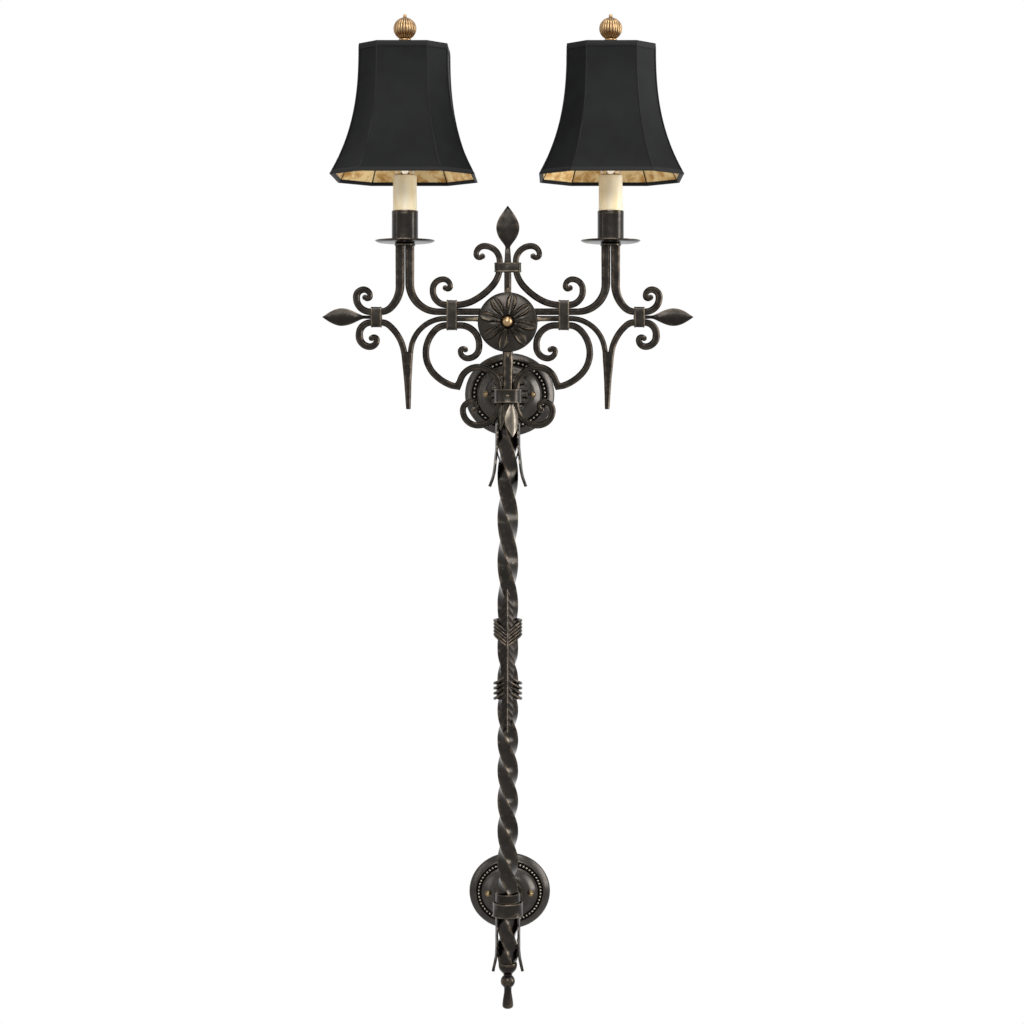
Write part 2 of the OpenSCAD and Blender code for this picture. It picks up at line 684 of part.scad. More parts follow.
module top_scroll(side) {
    color("#3a3530") on_side(side) {
        bar(top_scroll_path);
        curl_end(top_scroll_path[0]);
        curl_end(last(top_scroll_path));
    }
}
module c_scroll(side) {
    color("#3a3530") on_side(side) {
        bar(c_scroll_path);
        curl_end(c_scroll_path[0]);
    }
}
module s_scroll(side) {
    color("#3a3530") on_side(side) {
        bar(s_scroll_path);
        curl_end(last(s_scroll_path));
    }
}

// ---- Collars ---------------------------------------------------------------------------
// A band round bars that run along X, from low_z to high_z
module collar_x(x, low_z, high_z) {
    gap_h = high_z - low_z + 2 * loose_gap;
    depth = bar_d + 2 * loose_gap;
    translate([x, mid_y, (low_z + high_z) / 2]) difference() {
        cube([collar_len, depth + 2 * collar_t, gap_h + 2 * collar_t], center = true);
        cube([collar_len + 2, depth, gap_h], center = true);
    }
}
module side_collars() {
    color("#4a443d") for (side = [-1, 1]) {
        on_side(side) collar_x(side_collar_x, lower_row_z - bar_w / 2, arm_row_z + bar_w / 2);
    }
}
module middle_collars() {
    color("#4a443d") for (side = [-1, 1]) {
        on_side(side) collar_x(middle_collar_x, c_row_z - bar_w / 2, top_row_z + bar_w / 2);
    }
}
module top_collar() {
    lean = 1;
    gap_w = 2 * (top_scroll_x + scroll_w / 2 + lean + loose_gap);
    depth = bar_d + 2 * loose_gap;
    color("#4a443d") translate([0, mid_y, top_collar_z]) difference() {
        cube([gap_w + 2 * collar_t, depth + 2 * collar_t, collar_len - 1.2], center = true);
        cube([gap_w, depth, collar_len + 2], center = true);
    }
}

// ---- Rosette ------------------------------------------------------------------------------
rosette_leaf_t = 2;
rosette_back_y = bar_front_y - rosette_leaf_t - seat_gap;
bolt_r = 2.5;
module rosette_leaf() {
    waist = 25.2;
    color("#37322d") difference() {
        translate([0, 0, rosette_z]) upright(rosette_leaf_t, bar_front_y - rosette_leaf_t / 2 - seat_gap / 2) polygon([
            for (i = [0 : 7])
                let (r = i % 2 == 0 ? rosette_leaf_r : waist)
                [r * sin(45 * i), r * cos(45 * i)]
        ]);
        translate([0, 0, rosette_z]) pin_y(bolt_r + loose_gap, 0, stand_off + 40);
    }
}
module rosette() {
    rim_t = 2.4;
    color("#37322d") translate([0, rosette_back_y, rosette_z]) rotate([90, 0, 0]) difference() {
        rotate_extrude($fn = round_fn) polygon(concat(
            [[bolt_r + loose_gap, 0], [rosette_r - 1, 0], [rosette_r, 0.8]],
            [
                for (i = [0 : 6])
                    let (a = i / 6 * 84)
                    [rosette_r * cos(a), rim_t + (rosette_rise - rim_t) * sin(a)]
            ],
            [[bolt_r + loose_gap, rosette_rise]]
        ));
    }
}
module rosette_ball() {
    seat = rosette_back_y - rosette_rise - seat_gap;
    color("#b08d57") translate([0, 0, rosette_z]) {
        difference() {
            translate([0, seat - rosette_ball_r * 0.86, 0]) sphere(r = rosette_ball_r, $fn = round_fn);
            translate([-20, seat, -20]) cube([40, 20, 40]);
        }
        pin_y(bolt_r, mid_y, -seat - stand_off + 2);
    }
}

// ---- Leaves and bands on the shaft ----------------------------------------------------------
module upper_side_leaves() {
    leaf_w = 19;
    root_drop = shaft_neck - 6.9;
    bow_r = 120;
    bow_turn = 6;
    bow_run = 22;
    flare_r = 60;
    flare_turn = 14;
    tip_run = 9;
    bent_len = (bow_r * bow_turn + flare_r * flare_turn) * PI / 180 + bow_run + tip_run;
    start = [shaft_r + seat_gap + sheet_leaf_t / 2, shaft_top_z - root_drop, -90, sheet_leaf_t];
    path = trace(start, [
        [0, upper_side_leaf_len - bent_len, sheet_leaf_t], [bow_r, bow_turn, sheet_leaf_t],
        [0, bow_run, sheet_leaf_t], [flare_r, flare_turn, sheet_leaf_t], [0, tip_run, sheet_leaf_t]
    ]);
    color("#37322d") for (side = [-1, 1]) {
        on_side(side) bar(path, leaf_w);
    }
}
module lower_side_leaves() {
    leaf_w = 15;
    flare_r = 90;
    flare_turn = 12;
    tip_run = 14;
    bent_len = flare_r * flare_turn * PI / 180 + tip_run;
    start = [shaft_r + seat_gap + sheet_leaf_t / 2, lower_z + lower_band_h / 2 - 2, -90, sheet_leaf_t];
    path = trace(start, [
        [0, lower_side_leaf_len - bent_len, sheet_leaf_t], [flare_r, flare_turn, sheet_leaf_t],
        [0, tip_run, sheet_leaf_t]
    ]);
    color("#37322d") for (side = [-1, 1]) {
        on_side(side) bar(path, leaf_w);
    }
}
module front_leaf() {
    leaf_t = 2.4;
    leaf_y = mid_y - reed_r - seat_gap - leaf_t / 2;
    color("#37322d") translate([0, 0, front_leaf_top_z - front_leaf_len])
        upright(leaf_t, leaf_y) rotate(90) polygon(leaf_points(front_leaf_len, front_leaf_w, 0.45, 1, 20));
}
upper_reed_z = front_leaf_top_z - upper_reed_drop;
lower_reed_z = front_leaf_top_z - lower_reed_drop;
module reeded_bands() {
    color("#4a443d") for (z = [upper_reed_z, lower_reed_z]) {
        translate([0, mid_y, z - reed_h / 2]) difference() {
            cylinder(h = reed_h, r = reed_r, $fn = round_fn);
            translate([0, 0, -1]) cylinder(h = reed_h + 2, r = shaft_r + seat_gap, $fn = round_fn);
        }
    }
}
module bottom_finial() {
    neck_r = 5.7;
    ball_z = -foot_cup_h - foot_ball_r;
    drop_z = -foot_cup_h - 2 * foot_ball_r;
    color("#332f2a") translate([0, mid_y, shaft_bottom_z]) rotate_extrude($fn = round_fn) polygon(concat(
        [[0, 0], [foot_cup_r * 0.9, 0], [foot_cup_r, -2], [foot_cup_r, -foot_cup_h * 0.45]],
        [[neck_r + 1, -foot_cup_h + 2], [neck_r, -foot_cup_h]],
        [for (a = [55 : -17.5 : -55]) [foot_ball_r * cos(a), ball_z + foot_ball_r * sin(a)]],
        [[5, drop_z], [5, drop_z - foot_drop_len * 0.35], [foot_drop_r, drop_z - foot_drop_len * 0.8]],
        [[foot_drop_r * 0.9, drop_z - foot_drop_len * 0.93], [0, drop_z - foot_drop_len]]
    ));
}

// ---- Lights ----------------------------------------------------------------------------------
module at_light(side) {
    translate([side * light_x, mid_y, light_z]) children();
}
module drip_pan(side) {
    rim_rise = 2.4;
    color("#37322d") at_light(side) rotate_extrude($fn = 72) polygon([
        [nipple_r + loose_gap, 0.2], [flange_r, 0.2], [flange_r, flange_h - 1], [flange_r - 1.5, flange_h],
        [pan_r - 6, flange_h], [pan_r, flange_h + rim_rise], [pan_r, flange_h + rim_rise + pan_t * 0.7],
        [pan_r - 6.4, pan_seat], [nipple_r + loose_gap, pan_seat]
    ]);
}
module candle_cup(side) {
    color("#37322d") at_light(side) translate([0, 0, pan_seat]) difference() {
        cylinder(h = cup_h, r = cup_r, $fn = 72);
        translate([0, 0, sleeve_floor - pan_seat]) cylinder(h = cup_h, r = cup_r - cup_t, $fn = 72);
        translate([0, 0, -1]) cylinder(h = 10, r = nipple_r + loose_gap, $fn = round_fn);
    }
}
module sleeve(side) {
    color("#f0e2bd") at_light(side) translate([0, 0, sleeve_floor]) difference() {
        cylinder(h = sleeve_h, r = sleeve_r, $fn = 72);
        translate([0, 0, -1]) cylinder(h = sleeve_h + 2, r = sleeve_r - sleeve_t, $fn = 72);
    }
}
module lampholder(side) {
    color("#2a2826") at_light(side) difference() {
        union() {
            translate([0, 0, holder_bottom]) cylinder(h = holder_top - holder_bottom, r = holder_r, $fn = 72);
            translate([0, 0, 0.4]) cylinder(h = holder_bottom, r = nipple_r, $fn = round_fn);
        }
        translate([0, 0, holder_floor]) cylinder(h = holder_bore_h + 1, r = base_r + thread_gap, $fn = 72);
        translate([0, 0, -1]) cylinder(h = holder_bottom + 8, r = nipple_r - 1.2, $fn = round_fn);
    }
}
module lamp_base(side) {
    color("#c9b27a") at_light(side) {
        translate([0, 0, holder_floor + seat_gap]) cylinder(h = 3, r = base_r * 0.4, $fn = round_fn);
        translate([0, 0, holder_floor + seat_gap + 3])
            cylinder(h = glass_z - holder_floor - seat_gap - 3, r = base_r, $fn = 72);
    }
}
// Radius of the glass at the share t of its height
function glass_at(t) =
    t < 0.3
        ? glass_r * (0.66 + 0.34 * sin(t / 0.3 * 90))
        : glass_r * pow(cos((t - 0.3) / 0.7 * 88), 0.72) + 0.35;
module lamp_glass(side) {
    steps = 16;
    color("#f4f0e4") at_light(side) translate([0, 0, glass_z]) rotate_extrude($fn = round_fn) polygon(concat(
        [[0, 0]],
        [for (i = [0 : steps]) [glass_at(i / steps), glass_h * i / steps]],
        [[0, glass_h]]
    ));
}

// ---- Shades ------------------------------------------------------------------------------------
function shade_half(t) = shade_top_w + (shade_bottom_w - shade_top_w) * pow(1 - t, shade_flare);
function shade_corner(w, k) =
    let (a = w * shade_flat)
    [[a, -w], [w, -a], [w, a], [a, w], [-a, w], [-w, a], [-w, -a], [-a, -w]][k];
module shade(side) {
    rings = 9;
    inner_start = 8 * rings;
    points = concat(
        [
            for (i = [0 : rings - 1])
                for (k = [0 : 7])
                    let (t = i / (rings - 1), c = shade_corner(shade_half(t), k))
                    [c[0], c[1], t * shade_h]
        ],
        [
            for (i = [0 : rings - 1])
                for (k = [0 : 7])
                    let (t = i / (rings - 1), c = shade_corner(shade_half(t) - shade_t, k))
                    [c[0], c[1], t * shade_h]
        ]
    );
    walls = [
        for (i = [0 : rings - 2])
            for (k = [0 : 7])
                let (a = 8 * i + k, b = 8 * i + (k + 1) % 8)
                for (f = [
                    [a, a + 8, b], [b, a + 8, b + 8],
                    [inner_start + a, inner_start + b, inner_start + a + 8],
                    [inner_start + b, inner_start + b + 8, inner_start + a + 8]
                ]) f
    ];
    top = 8 * (rings - 1);
    rims = [
        for (k = [0 : 7])
            let (n = (k + 1) % 8, m = inner_start)
            for (f = [
                [k, n, m + k], [n, m + n, m + k],
                [top + k, m + top + k, top + n], [top + n, m + top + k, m + top + n]
            ]) f
    ];
    color("#232323") at_light(side) translate([0, 0, shade_rise]) polyhedron(points, concat(walls, rims), convexity = 4);
}
clip_foot = 0.14; // where the clip's wires end on the glass, as a share of its height
module clip_loop() {
    steps = 12;
    gap = seat_gap;
    tops = [for (i = [0 : steps]) clip_foot + (1 - clip_foot) * i / steps];
    outline = [for (t = tops) [glass_at(t) + gap + (t > 0.9 ? 0.6 : 0), glass_h * t + (t > 0.9 ? gap : 0)]];
    outer = [for (p = outline) [p[0] + carrier_t, p[1] + carrier_t * p[1] / glass_h]];
    translate([0, carrier_t / 2, 0]) rotate([90, 0, 0]) linear_extrude(carrier_t) for (s = [-1, 1]) {
        polygon(concat(
            [for (p = outline) [s * p[0], p[1]]],
            [[0, glass_h + gap], [0, glass_h + gap + carrier_t]],
            [for (i = [steps : -1 : 0]) [s * outer[i][0], outer[i][1]]]
        ));
    }
}
module shade_carrier(side) {
    hub_r = 7;
    arm_len = 2 * (shade_top_w - shade_t - 0.1);
    clip_top = glass_top + seat_gap + carrier_t;
    color("#a98f5c") at_light(side) {
        translate([0, 0, glass_z]) clip_loop();
        translate([0, 0, clip_top - 1]) cylinder(h = hub_z - clip_top + 1.5, r = 2, $fn = round_fn);
        translate([0, 0, hub_z]) cylinder(h = finial_z - seat_gap - hub_z, r = hub_r, $fn = round_fn);
        translate([-arm_len / 2, -1.6, hub_z]) cube([arm_len, 3.2, carrier_t]);
        translate([-1.6, -arm_len / 2, hub_z]) cube([3.2, arm_len, carrier_t]);
        translate([0, 0, hub_z]) cylinder(h = finial_stud_top - hub_z, r = finial_stud_r, $fn = round_fn);
    }
}
module finial(side) {
    ball_z = finial_foot_h + finial_ball_r * 0.95;
    knob_r = 2.4;
    knob_z = ball_z + finial_ball_r;
    color("#9c7a4a") at_light(side) translate([0, 0, finial_z]) difference() {
        rotate_extrude($fn = round_fn) polygon(concat(
            [[0, 0], [5.2, 0], [5, 3], [4.6, 7], [8.3, 8.6], [8.3, finial_foot_h + 0.4], [5.6, finial_foot_h + 1]],
            [for (a = [-62 : 12.4 : 75]) [finial_ball_r * cos(a), ball_z + finial_ball_r * sin(a) * 0.97]],
            [[knob_r, knob_z], [knob_r, knob_z + 2.6], [knob_r * 0.6, knob_z + 3.8], [0, knob_z + 4]]
        ));
        translate([0, 0, -1]) cylinder(h = finial_stud_top - finial_z + 2, r = finial_stud_r + thread_gap, $fn = round_fn);
    }
}

upper_wall_plate();
lower_wall_plate();
upper_crossbar();
lower_crossbar();
upper_fasteners();
lower_fasteners();
upper_cap_nuts();
lower_cap_nuts();
upper_arm();
lower_arm();
upper_clamp();
lower_band();
shaft();
centre_bar();
top_spear();
side_spear(-1);  // left_spear
side_spear(1);  // right_spear
top_scroll(-1);  // left_top_scroll
top_scroll(1);  // right_top_scroll
outer_arm(-1);  // left_outer_arm
outer_arm(1);  // right_outer_arm
inner_arm(-1);  // left_inner_arm
inner_arm(1);  // right_inner_arm
lower_bar(-1);  // left_lower_bar
lower_bar(1);  // right_lower_bar
inner_bar(-1);  // left_inner_bar
inner_bar(1);  // right_inner_bar
c_scroll(-1);  // left_c_scroll
c_scroll(1);  // right_c_scroll
s_scroll(-1);  // left_s_scroll
s_scroll(1);  // right_s_scroll
top_collar();
side_collars();
middle_collars();
rosette();
rosette_leaf();
rosette_ball();
upper_side_leaves();
lower_side_leaves();
front_leaf();
reeded_bands();
bottom_finial();
drip_pan(-1);  // left_drip_pan
drip_pan(1);  // right_drip_pan
candle_cup(-1);  // left_candle_cup
candle_cup(1);  // right_candle_cup
sleeve(-1);  // left_sleeve
sleeve(1);  // right_sleeve
lampholder(-1);  // left_lampholder
lampholder(1);  // right_lampholder
lamp_base(-1);  // left_lamp_base
lamp_base(1);  // right_lamp_base
lamp_glass(-1);  // left_lamp_glass
lamp_glass(1);  // right_lamp_glass
shade_carrier(-1);  // left_shade_carrier
shade_carrier(1);  // right_shade_carrier
shade(-1);  // left_shade
shade(1);  // right_shade
finial(-1);  // left_finial
finial(1);  // right_finial
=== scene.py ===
import math
import bpy
import bmesh
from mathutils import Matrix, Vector, noise


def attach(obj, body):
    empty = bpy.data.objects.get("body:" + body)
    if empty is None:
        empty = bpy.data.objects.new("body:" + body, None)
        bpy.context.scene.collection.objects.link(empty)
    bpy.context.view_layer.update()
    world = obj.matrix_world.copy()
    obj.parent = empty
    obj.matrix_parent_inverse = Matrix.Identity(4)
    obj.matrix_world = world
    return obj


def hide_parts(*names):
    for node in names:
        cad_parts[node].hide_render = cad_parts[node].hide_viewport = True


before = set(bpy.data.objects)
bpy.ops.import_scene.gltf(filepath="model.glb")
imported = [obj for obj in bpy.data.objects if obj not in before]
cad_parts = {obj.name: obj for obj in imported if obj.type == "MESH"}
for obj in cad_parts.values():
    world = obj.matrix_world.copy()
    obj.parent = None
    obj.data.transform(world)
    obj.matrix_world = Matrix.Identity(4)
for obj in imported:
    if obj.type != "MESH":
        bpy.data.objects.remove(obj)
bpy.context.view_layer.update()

# Lengths are in millimetres, in the frame of the CAD model
layout = {"lowerPlateZ": -671, "midY": -110, "lightX": 134, "lightZ": 192.3, "armRowZ": 106.8, "clampZ": -3,
          "rosetteZ": 93, "barW": 8.6, "barD": 8.6, "curlW": 6, "curlTurn": 145, "collarLen": 13.6, "rowGap": 0.3,
          "shankHalf": 2.4}
(lowerPlateZ, midY, lightX, lightZ, armRowZ, clampZ, rosetteZ,
 barW, barD, curlW, curlTurn, collarLen, rowGap, shankHalf) = layout.values()
rowPitch = barW + rowGap
topRowZ = armRowZ + rowPitch
innerRowZ = armRowZ - rowPitch
cRowZ = armRowZ - 2 * rowPitch
spearRowZ = armRowZ - barW / 2 - rowGap - shankHalf
lowerRowZ = spearRowZ - shankHalf - rowGap - barW / 2
lights = (("left_", -lightX), ("right_", lightX))


def sine(degrees):
    return math.sin(math.radians(degrees))


def cosine(degrees):
    return math.cos(math.radians(degrees))


def eased(t):
    t = min(1, max(0, t))
    return t * t * (3 - 2 * t)


def linear(code):
    channels = [int(code[i:i + 2], 16) / 255 for i in (1, 3, 5)]
    return [c / 12.92 if c <= 0.04045 else ((c + 0.055) / 1.055) ** 2.4 for c in channels] + [1.0]


def perMm(size):
    return 1000 / size  # a texture scale that repeats about every size millimetres


# Adds a node with its settings. A link comes from a socket, or from the first output of a node.
def addNode(tree, kind, settings=None, links=None):
    node = tree.nodes.new(kind)
    for key, value in (settings or {}).items():
        if key == "stops":
            ramp = node.color_ramp.elements
            while len(ramp) < len(value):
                ramp.new(0.5)
            for element, (place, colour) in zip(ramp, value):
                element.position = place
                element.color = linear(colour)
        elif isinstance(key, int) or key in node.inputs:
            node.inputs[key].default_value = value
        else:
            setattr(node, key, value)
    for key, source in (links or {}).items():
        tree.links.new(getattr(source, "outputs", [source])[0], node.inputs[key])
    return node


finishes = {}


def startMaterial(name):
    material = finishes[name] = bpy.data.materials.new(name)
    material.use_nodes = True
    material.node_tree.nodes.clear()
    return material.node_tree, addNode(material.node_tree, "ShaderNodeTexCoord").outputs["Object"]


def endMaterial(tree, settings, links):
    shader = addNode(tree, "ShaderNodeBsdfPrincipled", settings, links)
    addNode(tree, "ShaderNodeOutputMaterial", None, {"Surface": shader})


# Forged iron under an oil-rubbed bronze lacquer: a dark satin brown-black skin that breaks to a
# warm brown where hands and cloth have rubbed the arrises, with the soft dents of the hammer.
def forgedIron(name, dark, mid, light, wornTone, rubbed, roughness, dents):
    tree, place = startMaterial(name)
    patches = addNode(tree, "ShaderNodeTexNoise", {"Scale": perMm(16), "Detail": 5, "Roughness": 0.6},
                      {"Vector": place})
    specks = addNode(tree, "ShaderNodeTexNoise", {"Scale": perMm(7), "Detail": 1.5, "Roughness": 0.5},
                     {"Vector": place})
    base = addNode(tree, "ShaderNodeValToRGB", {"stops": [(0.3, dark), (0.55, mid), (0.75, light)]}, {"Fac": patches})
    rub = addNode(tree, "ShaderNodeAttribute", {"attribute_name": "rub"}).outputs["Fac"]
    worn = addNode(tree, "ShaderNodeMath", {"operation": "MULTIPLY"}, {0: rub, 1: specks})
    wornMask = addNode(tree, "ShaderNodeMapRange", {"From Min": 0.18, "From Max": 0.5, "To Max": rubbed},
                       {"Value": worn})
    flecks = addNode(tree, "ShaderNodeMapRange", {"From Min": 0.66, "From Max": 0.8, "To Max": 0.3},
                     {"Value": specks})
    mask = addNode(tree, "ShaderNodeMath", {"operation": "MAXIMUM"}, {0: wornMask, 1: flecks})
    mixed = addNode(tree, "ShaderNodeMix", {"data_type": "RGBA", 7: linear(wornTone)}, {0: mask, 6: base})
    rough = addNode(tree, "ShaderNodeMapRange", {"From Min": 0.3, "From Max": 0.7, "To Min": roughness - 0.02,
                                                 "To Max": roughness + 0.04}, {"Value": specks})
    hammered = addNode(tree, "ShaderNodeTexNoise", {"Scale": perMm(10), "Detail": 1}, {"Vector": place})
    bump = addNode(tree, "ShaderNodeBump", {"Strength": dents, "Distance": 0.0006}, {"Height": hammered})
    endMaterial(tree, {"Metallic": 0.94}, {"Base Color": mixed.outputs[2], "Roughness": rough, "Normal": bump})


# Antique brass, cast and rubbed: bright warm metal on what stands proud, brown patina in the hollows.
def antiqueBrass(name, patina, mid, bright, roughness):
    tree, place = startMaterial(name)
    cloud = addNode(tree, "ShaderNodeTexNoise", {"Scale": perMm(9), "Detail": 4}, {"Vector": place})
    rub = addNode(tree, "ShaderNodeAttribute", {"attribute_name": "rub"}).outputs["Fac"]
    lift = addNode(tree, "ShaderNodeMath", {"operation": "MULTIPLY_ADD", 1: 0.35}, {0: cloud, 2: rub})
    colour = addNode(tree, "ShaderNodeValToRGB", {"stops": [(0.1, patina), (0.5, mid), (1.0, bright)]}, {"Fac": lift})
    rough = addNode(tree, "ShaderNodeMapRange", {"From Min": 0.1, "From Max": 1.0, "To Min": roughness + 0.16,
                                                 "To Max": roughness}, {"Value": lift})
    pits = addNode(tree, "ShaderNodeTexNoise", {"Scale": perMm(1.4), "Detail": 3}, {"Vector": place})
    bump = addNode(tree, "ShaderNodeBump", {"Strength": 0.04, "Distance": 0.0003}, {"Height": pits})
    endMaterial(tree, {"Metallic": 1.0}, {"Base Color": colour, "Roughness": rough, "Normal": bump})


# Soda-lime glass, blown: clear with a touch of warmth and slow ripples in the wall.
def blownGlass():
    tree, place = startMaterial("blownSodaGlass")
    ripple = addNode(tree, "ShaderNodeTexNoise", {"Scale": perMm(14), "Detail": 1}, {"Vector": place})
    bump = addNode(tree, "ShaderNodeBump", {"Strength": 0.05, "Distance": 0.0006}, {"Height": ripple})
    endMaterial(tree, {"Base Color": linear("#fbf7ee"), "Transmission Weight": 1.0, "IOR": 1.52, "Roughness": 0.02},
                {"Normal": bump})


# Black cotton sateen laminated on card: flat and deep, a faint sheen at glancing angles. Its 0.25 mm
# threads are too fine for the render, so the weave is drawn at 1 mm.
def cottonSateen():
    tree, place = startMaterial("blackSateenOnCard")
    threads = addNode(tree, "ShaderNodeTexNoise", {"Scale": perMm(1.0), "Detail": 2}, {"Vector": place})
    slubs = addNode(tree, "ShaderNodeTexNoise", {"Scale": perMm(22), "Detail": 3}, {"Vector": place})
    both = addNode(tree, "ShaderNodeMath", {"operation": "MULTIPLY_ADD", 1: 0.35}, {0: threads, 2: slubs})
    colour = addNode(tree, "ShaderNodeValToRGB", {"stops": [(0.45, "#090909"), (0.85, "#0f1010")]}, {"Fac": both})
    rough = addNode(tree, "ShaderNodeMapRange", {"To Min": 0.42, "To Max": 0.56}, {"Value": threads})
    ribs = [addNode(tree, "ShaderNodeTexWave", {"Scale": perMm(1.0) / 6.28, "bands_direction": way,
                                                "Distortion": 1.5},
                    {"Vector": place}).outputs[1] for way in ("DIAGONAL", "Z")]
    weave = addNode(tree, "ShaderNodeMath", {"operation": "MULTIPLY"}, {0: ribs[0], 1: ribs[1]})
    bump = addNode(tree, "ShaderNodeBump", {"Strength": 0.1, "Distance": 0.0002}, {"Height": weave})
    endMaterial(tree, {"IOR": 1.46, "Specular IOR Level": 0.09},
                {"Base Color": colour, "Roughness": rough, "Normal": bump})


# Gold foil paper, crumpled and pasted: warm leafy gold, lighter on the raised facets and browner in the creases, with
# painted highlight and painted shade that follow its relief.
def crumpledFoil():
    tree, place = startMaterial("crumpledGoldFoil")
    creases = addNode(tree, "ShaderNodeTexVoronoi", {"Scale": perMm(17)}, {"Vector": place})
    wrinkles = addNode(tree, "ShaderNodeTexNoise", {"Scale": perMm(11), "Detail": 6, "Roughness": 0.7,
                                                    "Distortion": 1.2},
                       {"Vector": place})
    both = addNode(tree, "ShaderNodeMath", {"operation": "MULTIPLY_ADD", 1: 0.5}, {0: creases, 2: wrinkles})
    # painted highlight on the raised facets and painted shade in the creases, from the same pattern as the bump
    colour = addNode(tree, "ShaderNodeValToRGB",
                     {"stops": [(0.42, "#9a6830"), (0.62, "#c99a56"), (0.82, "#efd39a")]}, {"Fac": both})
    rough = addNode(tree, "ShaderNodeMapRange", {"To Min": 0.3, "To Max": 0.5}, {"Value": wrinkles})
    bump = addNode(tree, "ShaderNodeBump", {"Strength": 0.5, "Distance": 0.0016}, {"Height": both})
    endMaterial(tree, {"Metallic": 0.55}, {"Base Color": colour, "Roughness": rough, "Normal": bump})


# A finish whose grain gives it tint, gloss and relief. The tint may have a softer cloud of its own.
def grained(name, settings, plan):
    tree, place = startMaterial(name)
    run = place
    if "stretch" in plan:
        run = addNode(tree, "ShaderNodeMapping", {"Scale": plan["stretch"]}, {"Vector": place})
    size, detail = plan["grain"]
    grain = addNode(tree, "ShaderNodeTexNoise", {"Scale": perMm(size), "Detail": detail}, {"Vector": run})
    tint = grain
    if "cloud" in plan:
        size, detail = plan["cloud"]
        tint = addNode(tree, "ShaderNodeTexNoise", {"Scale": perMm(size), "Detail": detail}, {"Vector": place})
    colour = addNode(tree, "ShaderNodeValToRGB", {"stops": plan["stops"]}, {"Fac": tint})
    rough = addNode(tree, "ShaderNodeMapRange", {"To Min": plan["gloss"][0], "To Max": plan["gloss"][1]},
                    {"Value": grain})
    bump = addNode(tree, "ShaderNodeBump", {"Strength": plan["relief"][0], "Distance": plan["relief"][1]},
                   {"Height": grain})
    endMaterial(tree, settings, {"Base Color": colour, "Roughness": rough, "Normal": bump})


# Each iron: its dark, middle, light and worn tones, how far it is rubbed, its roughness, its dents
ironFinishes = {
    "oilRubbedIron": ("#1f1c1a", "#282522", "#322e29", "#5d5245", 0.6, 0.25, 0.08),
    "oilRubbedIronRubbedBright": ("#25221f", "#302d29", "#3c3832", "#6d6253", 0.6, 0.28, 0.08),
    "twistedIronShaft": ("#272522", "#2e2b28", "#36322e", "#7a6c5b", 0.7, 0.22, 0.0),
    "pressedIronRosette": ("#2a2724", "#33302c", "#3b3732", "#625648", 0.55, 0.28, 0.02),
    "oilRubbedIronLeaves": ("#1f1c1a", "#282522", "#352f29", "#75695a", 0.8, 0.28, 0.05),
    "pressedIronPlate": ("#35322f", "#3e3b38", "#474440", "#6b645a", 0.6, 0.26, 0.03),
    # painted highlight: a lighter iron for the head petal on the right, lit side
    "paintedHighlightIronPetal": ("#4d4842", "#625c54", "#777067", "#8f8371", 0.6, 0.3, 0.03),
    # painted highlight: the beads are coloured far lighter than the plate around them
    "paintedHighlightIronBeads": ("#6a645c", "#837c72", "#9a9287", "#a89e91", 0.6, 0.3, 0.05),
    # painted shade: a near-black iron for the sheet laid in the bead channels of the wall plates
    "paintedShadeIronSheet": ("#12100f", "#171513", "#1e1b19", "#24211d", 0.6, 0.5, 0.1),
    "rubbedIronTips": ("#3f382f", "#544b3f", "#6d6252", "#7f7360", 0.6, 0.34, 0.08),
}
brassFinishes = {  # patina, middle and bright tones, roughness
    "antiqueBrass": ("#3c2f22", "#6b5843", "#957f62", 0.3),
    "rubbedBrassBall": ("#58462f", "#7b6348", "#a08462", 0.32),
    "castBrassFinials": ("#463623", "#775f43", "#a68a66", 0.33),
    "agedBrassNuts": ("#4d4232", "#72624a", "#9a8666", 0.24),
}
for name, look in ironFinishes.items():
    forgedIron(name, *look)
for name, look in brassFinishes.items():
    antiqueBrass(name, *look)
blownGlass()
cottonSateen()
crumpledFoil()
# Zinc-plated steel, as rolled and plated: pale grey, cloudy, with fine rolling lines
grained("zincPlatedSteel", {"Metallic": 1.0}, {
    "stretch": [0.05, 1, 1], "grain": (0.8, 2), "cloud": (8, 4), "stops": [(0.3, "#8f8d86"), (0.7, "#b9b6ac")],
    "gloss": (0.3, 0.45), "relief": (0.1, 0.0002)})
# Candle sleeve, dipped in wax over a tube: creamy and slightly waxy, deeper yellow where the wax ran thick
grained("dippedWaxSleeve", {"Subsurface Weight": 0.12, "Subsurface Radius": [0.004, 0.003, 0.0015], "IOR": 1.45,
                            "Coat Weight": 0.1}, {
    "stretch": [1, 1, 0.16], "grain": (9, 3), "stops": [(0.3, "#f2dcaa"), (0.5, "#f9ebc8"), (0.72, "#fdf4db")],
    "gloss": (0.34, 0.52), "relief": (0.25, 0.0008)})
# Phenolic resin, moulded: near black with a soft gloss and a faint orange-peel skin
grained("mouldedPhenolic", {"IOR": 1.6}, {
    "grain": (1.6, 2), "stops": [(0.3, "#171615"), (0.7, "#24221f")], "gloss": (0.3, 0.4), "relief": (0.08, 0.0002)})
# Grosgrain ribbon, woven: the shade's bindings, a shade deeper than the cloth, with its ribs across
grained("blackGrosgrain", {"IOR": 1.46, "Specular IOR Level": 0.14}, {
    "grain": (1.4, 2), "stops": [(0.35, "#101010"), (0.75, "#19191a")], "gloss": (0.45, 0.65),
    "relief": (0.2, 0.0003)})
print("materials made")


# A shape is a list of (x, y, z, rub) points and a list of faces, where rub says how worn a point is
def merged(*shapes):
    points, faces = [], []
    for more, moreFaces in shapes:
        faces += [[i + len(points) for i in face] for face in moreFaces]
        points += more
    return points, faces


